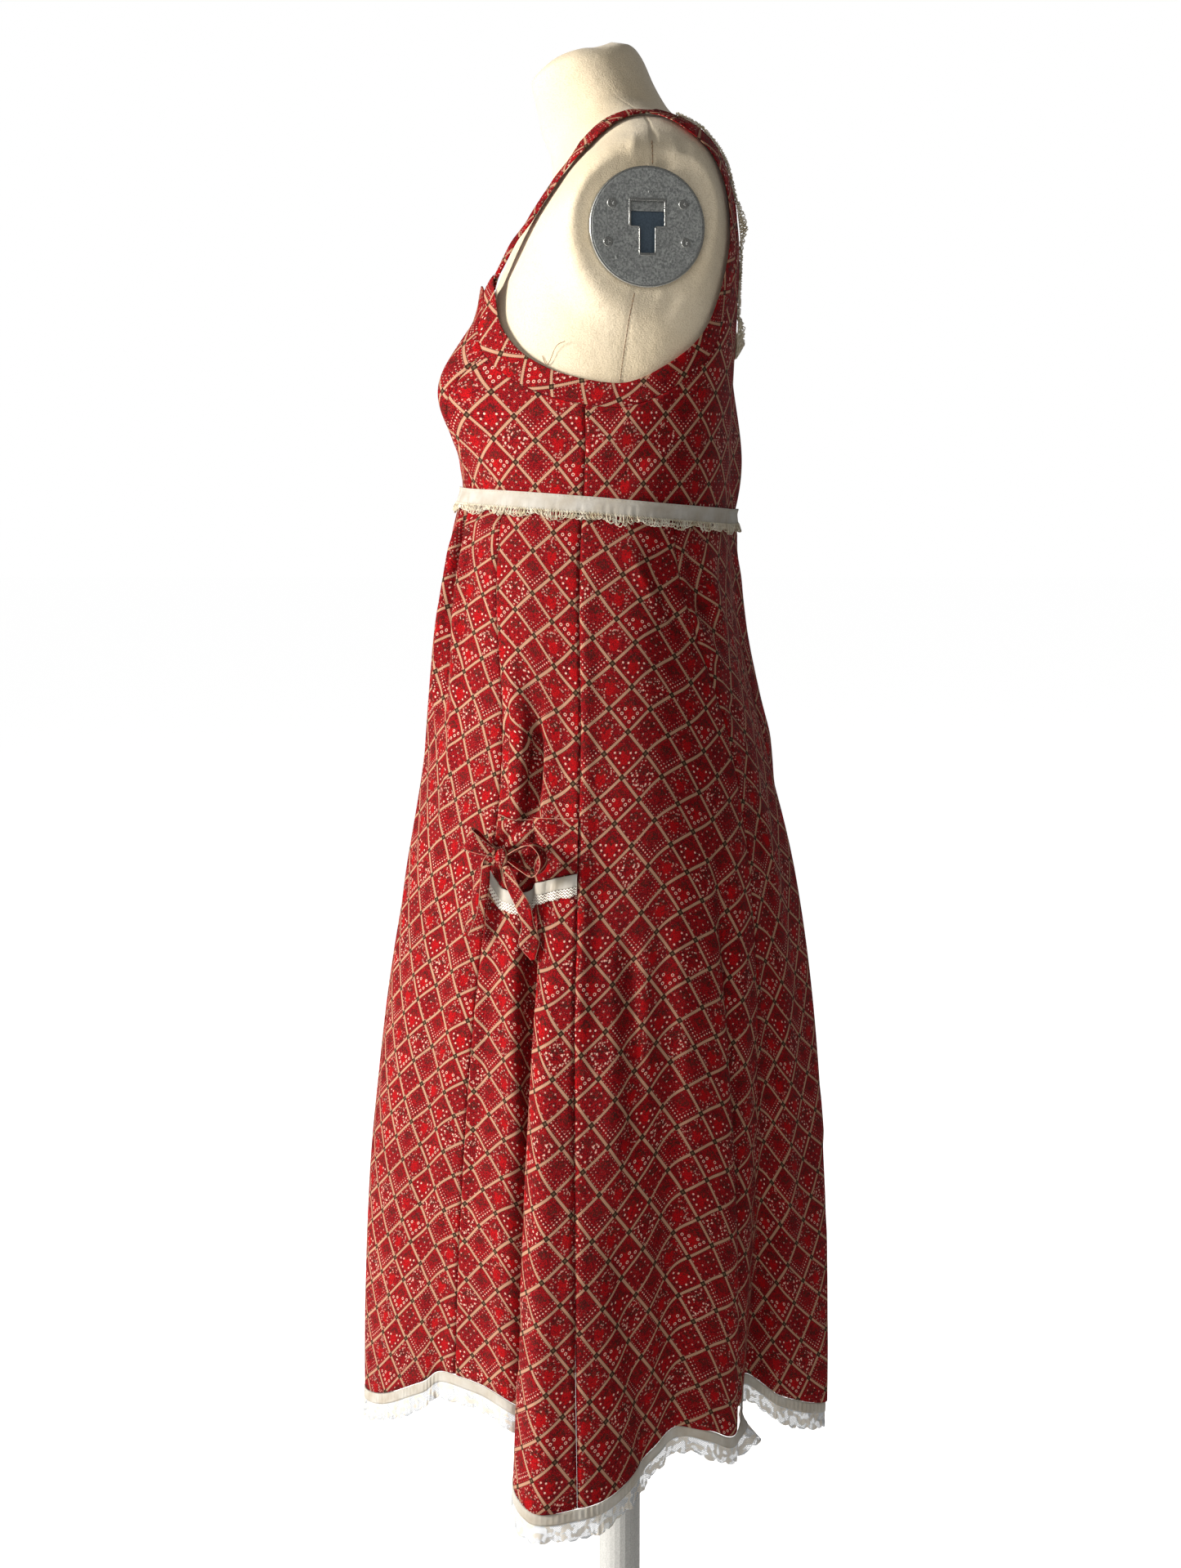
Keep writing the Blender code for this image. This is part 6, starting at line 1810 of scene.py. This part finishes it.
def make_knot(side):
    """An ellipsoid wrung into folds: its radius swells with a cosine round it."""
    anchor, frame_of_bow = bow_frame(side)
    polar, around = np.meshgrid(np.linspace(0.05, math.pi - 0.05, KNOT_ROWS),
                                np.linspace(0, 2 * math.pi, KNOT_AROUND + 1), indexing="ij")
    size = np.array(BOW["knot"]) / 2
    swell = 1.0 + 0.07 * np.cos(5 * around + 2.2 * polar) * np.sin(polar)
    local = np.stack([size[0] * np.sin(polar) * np.cos(around), size[1] * np.cos(polar),
                      size[2] * np.sin(polar) * np.sin(around)], axis=-1) * swell[..., None]
    local[..., 2] += BOW["knot_out"]
    points = anchor + local @ frame_of_bow
    cut_ring = np.arange(polar.size).reshape(polar.shape)
    quads = cells(ring_numbers(KNOT_ROWS, KNOT_AROUND))
    flat = np.stack([around * 0.006, -polar * 0.008], axis=-1)
    cut = turned_cut(flat.reshape(-1, 2), 30.0)[cells(cut_ring)]
    closed, closed_cut = closed_poles(points[:, :-1].reshape(-1, 3), quads, cut,
                                      KNOT_ROWS, KNOT_AROUND)
    piece = lay("bow_knot_" + side + "_cloth", closed[0], closed[1], calico, closed_cut)
    place(piece, "calico", "bow_knot_" + side)


def ring_numbers(rows, columns):
    """Point numbers of a tube's rings, each row closed by its first number again."""
    return np.arange(rows)[:, None] * columns + np.arange(columns + 1)[None] % columns


def closed_poles(points, quads, cut, rows, columns):
    """Close a tube of rings at both ends with strips of faces across the end ring."""
    half = columns // 2
    lists, places = [quads], [cut]
    for start, way in ((0, 1), ((rows - 1) * columns, -1)):
        k = np.arange(half - 1)
        left, right = start + k, start + (columns - 1 - k)
        strip = np.stack([left, right, right - 1, left + 1], axis=-1)[:, ::way]
        lists.append(strip)
        places.append(np.zeros(strip.shape + (2,)))
    return (points, np.concatenate(lists)), np.concatenate(places)


for hand in MIRROR:
    make_pocket_cloth(hand)
    make_knot(hand)
    for stem, table in BOW_RIBBONS:
        make_ribbon(hand, stem, table)

# %% [markdown]
# ## The form
# Jersey is stretched over hard padding, so the form is its skin with only slight puckers,
# near the arm plates and where the side seam pulls. A closed tube of rings does it, with its
# two ends closed by strips of faces.

# %% Padded form
FORM_AROUND = 240
# The side seam runs from its lower to its upper level, between two turns
FORM_SEAM = {"level": (1.206, 1.398), "turn": (94.0, 96.0), "deep": 0.0007, "half_turn": 0.4,
             "off_plate": 0.049}
# turn and level of a pucker's middle, its half sizes, and its depth in mm
PUCKERS = ((104.0, 1.376, 9.0, 0.016, -1.6), (118.0, 1.392, 7.0, 0.012, -1.6),
           (70.0, 1.270, 10.0, 0.014, -0.8), (112.0, 1.268, 6.0, 0.012, -1.6),
           (108.0, 1.280, 4.0, 0.010, 1.2), (122.0, 1.352, 4.0, 0.010, -1.4),
           (98.0, 1.398, 3.0, 0.014, -1.3), (84.0, 1.392, 4.0, 0.015, 1.0))
# turn and level of the loose thread's points, and how far each stands off in mm
LOOSE_THREAD = ((63.0, 1.229, 0.7), (66.0, 1.222, 1.5), (68.0, 1.236, 3.0), (71.0, 1.240, 4.0))


def pulled(turn, level):
    """Depth of the puckers, the same on both sides: a product of two bells."""
    away = np.abs(half_round(turn))
    total = np.zeros(np.broadcast(turn, level).shape)
    for middle, height, half_turn, half_high, depth in PUCKERS:
        total = total + depth / 1000.0 * (bell((away - middle) / half_turn)
                                          * bell((level - height) / half_high))
    (low, high), (first, final) = FORM_SEAM["level"], FORM_SEAM["turn"]
    middle = first + (final - first) * (level - low) / (high - low)
    seam = np.exp(-((away - middle) / FORM_SEAM["half_turn"]) ** 2)
    return total - FORM_SEAM["deep"] * seam


def make_form():
    """Rings of the skin, closer where the shoulders turn in."""
    levels = np.concatenate([np.linspace(0.760, 1.36, 95), np.linspace(1.364, 1.4895, 80)])
    turn = np.linspace(0.0, 360.0, FORM_AROUND, endpoint=False)[None] + 0.0 * levels[:, None]
    level = levels[:, None] + 0.0 * turn
    out = normal_of(skin, turn, level)
    points = (skin(turn, level) + pulled(turn, level)[..., None] * out).reshape(-1, 3)
    rings = len(levels)
    quads = cells(ring_numbers(rings, FORM_AROUND))
    closed, cut = closed_poles(points, quads, np.zeros((len(quads), 4, 2)), rings, FORM_AROUND)
    piece = lay("form_skin", closed[0], closed[1], cream_jersey, cut)
    place(piece, "jersey", "form_torso")
    seam_levels = np.linspace(*FORM_SEAM["level"], 120)
    seam_turn = np.linspace(*FORM_SEAM["turn"], 120)
    for side, sign in MIRROR.items():
        line = skin(sign * seam_turn, seam_levels)
        away = normal_of(skin, sign * seam_turn, seam_levels)
        from_plate = np.hypot(line[:, 1] - PLATE["y"], line[:, 2] - PLATE["z"])
        off_plate = from_plate > FORM_SEAM["off_plate"]
        for part, low in (("lower", True), ("upper", False)):
            pick = off_plate & ((line[:, 2] < PLATE["z"]) == low)
            name = f"form_seam_{part}_{side}"
            stitch_row(name, line[pick], away[pick], brown_thread, 0.0040, 0.0003, 0.00030)


def make_loose_thread():
    """A loose end of thread that stands off the form above the armhole's edge."""
    turn, level, off = follow(LOOSE_THREAD, np.linspace(0.0, 1.0, 24)).T
    line = skin(turn, level) + off[:, None] / 1000.0 * normal_of(skin, turn, level)
    place(lay("loose_thread", *tubes(line[None], 0.00028), brown_thread), "jersey")


make_form()
make_loose_thread()

# %% [markdown]
# ## Arm plates
# A stamped zinc-coated disc with a T slot for a clip-on arm. The outline is drawn as a flat
# curve with a hole in it, because a filled curve rounds its own edges, and then it is made a
# mesh and put in place.

# %% Arm plates and their screws
# Screws and dimples of an arm plate: distance towards the back and up from its middle
SCREWS = ((-0.0295, 0.0176), (0.0290, 0.0176), (-0.0325, -0.0124), (0.0310, -0.0120))
DIMPLES = ((0.0025, 0.0270), (-0.0240, -0.0240), (0.0210, -0.0265))


def rounded_outline(corners, radius, steps=5):
    """An outline whose corners are arcs."""
    corners = np.array(corners, float)
    points = []
    for before, at, after in zip(np.roll(corners, 1, 0), corners, np.roll(corners, -1, 0)):
        inward, onward = before - at, after - at
        start = at + radius * inward / np.linalg.norm(inward)
        end = at + radius * onward / np.linalg.norm(onward)
        for t in np.linspace(0.0, 1.0, steps):
            points.append((1 - t) ** 2 * start + 2 * t * (1 - t) * at + t * t * end)
    return np.array(points)


def flat_shape(name, outlines, thick, bevel):
    """A filled flat curve with rounded edges, as points and faces of a mesh."""
    curve = bpy.data.curves.new(name, "CURVE")
    curve.dimensions = "2D"
    curve.fill_mode = "BOTH"
    curve.extrude = thick / 2 - bevel
    curve.bevel_depth = bevel
    curve.bevel_resolution = 2
    for outline in outlines:
        spline = curve.splines.new("POLY")
        spline.points.add(len(outline) - 1)
        flat = np.concatenate([outline, np.zeros((len(outline), 1)), np.ones((len(outline), 1))], 1)
        spline.points.foreach_set("co", flat.ravel())
        spline.use_cyclic_u = True
    temporary = bpy.data.objects.new(name, curve)
    bpy.context.collection.objects.link(temporary)
    graph = bpy.context.evaluated_depsgraph_get()
    mesh = bpy.data.meshes.new_from_object(temporary.evaluated_get(graph))
    bpy.data.objects.remove(temporary)
    return mesh


def circle(radius, steps, middle=(0.0, 0.0)):
    """Points round a circle."""
    a = np.linspace(0.0, 2 * math.pi, steps, endpoint=False)
    return np.stack([middle[0] + radius * np.cos(a), middle[1] + radius * np.sin(a)], axis=-1)


def stand_on_shoulder(mesh, side, out_by):
    """Move a flat mesh (across, up, out) to the shoulder's end."""
    mirror = MIRROR[side]
    yaw = math.radians(PLATE["yaw"])
    out = np.array([mirror * math.cos(yaw), math.sin(yaw), 0.0])
    over = np.array([-mirror * math.sin(yaw), math.cos(yaw), 0.0])
    middle = np.array([mirror * PLATE["x"], PLATE["y"], PLATE["z"]])
    flat = np.empty(3 * len(mesh.vertices))
    mesh.vertices.foreach_get("co", flat)
    flat = flat.reshape(-1, 3)
    points = (middle + HOME + flat[:, :1] * over + flat[:, 1:2] * np.array([0.0, 0.0, 1.0])
              + (flat[:, 2:] + out_by) * out)
    mesh.vertices.foreach_set("co", points.ravel())
    if mirror < 0:
        mesh.flip_normals()
    mesh.update()


def finished(name, mesh, finish, slot, *nodes):
    """A mesh object with one finish, smooth but for its sharp edges."""
    mesh.name = name
    mesh.materials.clear()
    mesh.materials.append(finish)
    mesh.shade_smooth()
    mesh.set_sharp_from_angle(angle=math.radians(40))
    made = bpy.data.objects.new(name, mesh)
    bpy.context.collection.objects.link(made)
    return place(made, slot, *nodes)


# Parts of a plate in metres: thickness, rounding of the edges, and how far the middle of the
# part stands out from the plate's plane
LAYERS = {
    "face": (0.0022, 0.0005, -0.0012), "rim": (0.0062, 0.0007, -0.0034),
    "slot_lip": (0.0012, 0.0003, -0.0004), "ledge": (0.0010, 0.0003, -0.0040),
    "dimple": (0.0005, 0.00015, 0.0), "socket": (0.0008, 0.0002, -0.0062),
    "screw": (0.0012, 0.0004, 0.0006), "recess": (0.0003, 0.0001, 0.0003),
}
RIM_WIDE, FACE_INSIDE, SOCKET_RADIUS = 0.0024, 0.0014, 0.030
SCREW_RADIUS, RECESS_RADIUS = 0.0034, 0.0022
LEDGE_LOW = 0.0125        # lower edge of the ledge behind the slot's head


def plate_part(name, layer, side, outlines, finish, *nodes):
    """One flat part of an arm plate, put in its place."""
    thick, bevel, out_by = LAYERS[layer]
    mesh = flat_shape(layer, outlines, thick, bevel)
    stand_on_shoulder(mesh, side, out_by)
    finished(name, mesh, finish, "plate_steel", *nodes)


def cross_outline(middle, turned):
    """The cross in a screw's head: four arms about its middle."""
    arms = []
    for k in range(4):
        a = math.pi / 2 * k + turned
        for reach, aside in ((0.0003, -1.2), (0.0019, -0.16), (0.0019, 0.16)):
            arms.append((reach * math.cos(a + aside), reach * math.sin(a + aside)))
    return np.array(arms) + middle


def make_arm_plate(side):
    """Face with its slot, rim, the dark steel behind the slot, dimples and screws."""
    head, stem, high = SLOT["head_wide"] / 2, SLOT["stem_wide"] / 2, SLOT["head_high"]
    corners = ((-head, high), (-head, 0.0), (-stem, 0.0), (-stem, -SLOT["stem_high"]),
               (stem, -SLOT["stem_high"]), (stem, 0.0), (head, 0.0), (head, high))
    slot = rounded_outline(corners, 0.0016)
    ledge = rounded_outline(((-head, high), (-head, LEDGE_LOW), (head, LEDGE_LOW),
                             (head, high)), 0.0010)
    radius = PLATE["radius"]
    plate_part("arm_plate_face_" + side, "face", side, (circle(radius - FACE_INSIDE, 96), slot),
               galvanised, "form_arm_plate_" + side)
    plate_part("arm_plate_rim_" + side, "rim", side,
               (circle(radius, 96), circle(radius - RIM_WIDE, 96)), bright_rim)
    plate_part("arm_plate_slot_lip_" + side, "slot_lip", side, (slot * 1.04, slot * 0.96),
               bright_rim)
    plate_part("arm_plate_ledge_" + side, "ledge", side, (ledge,), galvanised)
    for number, middle in enumerate(DIMPLES, 1):
        ring = (circle(0.0020, 20, middle), circle(0.0013, 20, middle))
        plate_part(f"arm_plate_dimple_{side}_{number}", "dimple", side, ring, galvanised)
    plate_part("arm_plate_socket_" + side, "socket", side, (circle(SOCKET_RADIUS, 48),),
               blue_steel)
    for number, middle in enumerate(SCREWS, 1):
        name = f"plate_screw_{side}_{number}"
        outlines = (circle(SCREW_RADIUS, 28, middle), cross_outline(np.array(middle), 0.5 * number))
        plate_part(name, "screw", side, outlines, bright_rim, "form_" + name)
        plate_part(name + "_recess", "recess", side, (circle(RECESS_RADIUS, 16, middle),),
                   blue_steel)


for hand in MIRROR:
    make_arm_plate(hand)

# %% [markdown]
# ## The stand
# The stand's solids already have the right shape, so they keep it and only take the paint.

# %% Paint on the stand
for node in ("form_base", "form_pole", "form_flange"):
    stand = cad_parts[node]
    stand.data.materials.clear()
    stand.data.materials.append(grey_paint)

# %% [markdown]
# ## Floor, light and the file's last words
# The floor and the air are pale. One big soft light stands before the dress's front, to the
# left of the view, so its front is bright and its back falls into shade.

# %% Floor and light
def seen(tree):
    """1 for what is looked at, and 0 for the light that it sends on to the cloth."""
    return Field(tree, tree.nodes.new("ShaderNodeLightPath").outputs["Is Camera Ray"])


FLOOR_REACH = 40.0


def make_floor():
    """A pale plane that reaches past the view."""
    mesh = bpy.data.meshes.new("floor")
    corners = [(x * FLOOR_REACH, y * FLOOR_REACH, 0.0)
               for x, y in ((-1, -1), (1, -1), (1, 1), (-1, 1))]
    mesh.from_pydata(corners, [], [(0, 1, 2, 3)])
    floor = Finish("pale_floor", roughness=0.9, base_color=(0.85, 0.85, 0.85, 1.0),
                   emission_color=(1.0, 1.0, 1.0, 1.0))
    floor.wear("Emission Strength", seen(floor.tree).ramp(0.0, 1.0, 0.0, 0.90))
    mesh.materials.append(floor.material)
    made = bpy.data.objects.new("floor", mesh)
    bpy.context.collection.objects.link(made)
    made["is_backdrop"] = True


def make_light(name, position, aim, size, power, colour=(1.0, 1.0, 1.0)):
    """A round soft light at a place, turned to what it lights."""
    lamp = bpy.data.lights.new(name, "AREA")
    lamp.shape = "DISK"
    lamp.size, lamp.energy, lamp.color = size, power, colour
    made = bpy.data.objects.new(name, lamp)
    bpy.context.collection.objects.link(made)
    made.location = position
    way = Vector(aim) - Vector(position)
    made.rotation_euler = way.to_track_quat("-Z", "Y").to_euler()


def make_air():
    """White air beyond the dress, of which little falls on it, so that the big light shapes
    the folds."""
    air = bpy.data.worlds.new("pale_air")
    air.use_nodes = True
    strength = seen(air.node_tree).ramp(0.0, 1.0, 0.11, 1.0)
    air.node_tree.links.new(strength.socket, air.node_tree.nodes["Background"].inputs["Strength"])
    air.node_tree.nodes["Background"].inputs["Color"].default_value = (1.0, 1.0, 1.0, 1.0)
    bpy.context.scene.world = air


make_floor()
make_air()
make_light("key", (1.0, -2.9, 1.6), (0.0, 0.0, 0.90), 0.9, 190.0, (1.0, 0.97, 0.93))
make_light("fill", (3.0, -0.6, 2.0), (0.0, 0.0, 0.9), 2.0, 26.0)
make_light("rear", (-2.2, 1.8, 2.2), (0.0, 0.0, 1.0), 2.0, 16.0)
bpy.context.scene.view_settings.view_transform = "Standard"

# %% Sizes
visual_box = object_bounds()
for label, low, high in (("CAD", *cad_box), ("visual", *visual_box)):
    print(label, [round(1000 * (b - a), 1) for a, b in zip(low, high)], "mm")
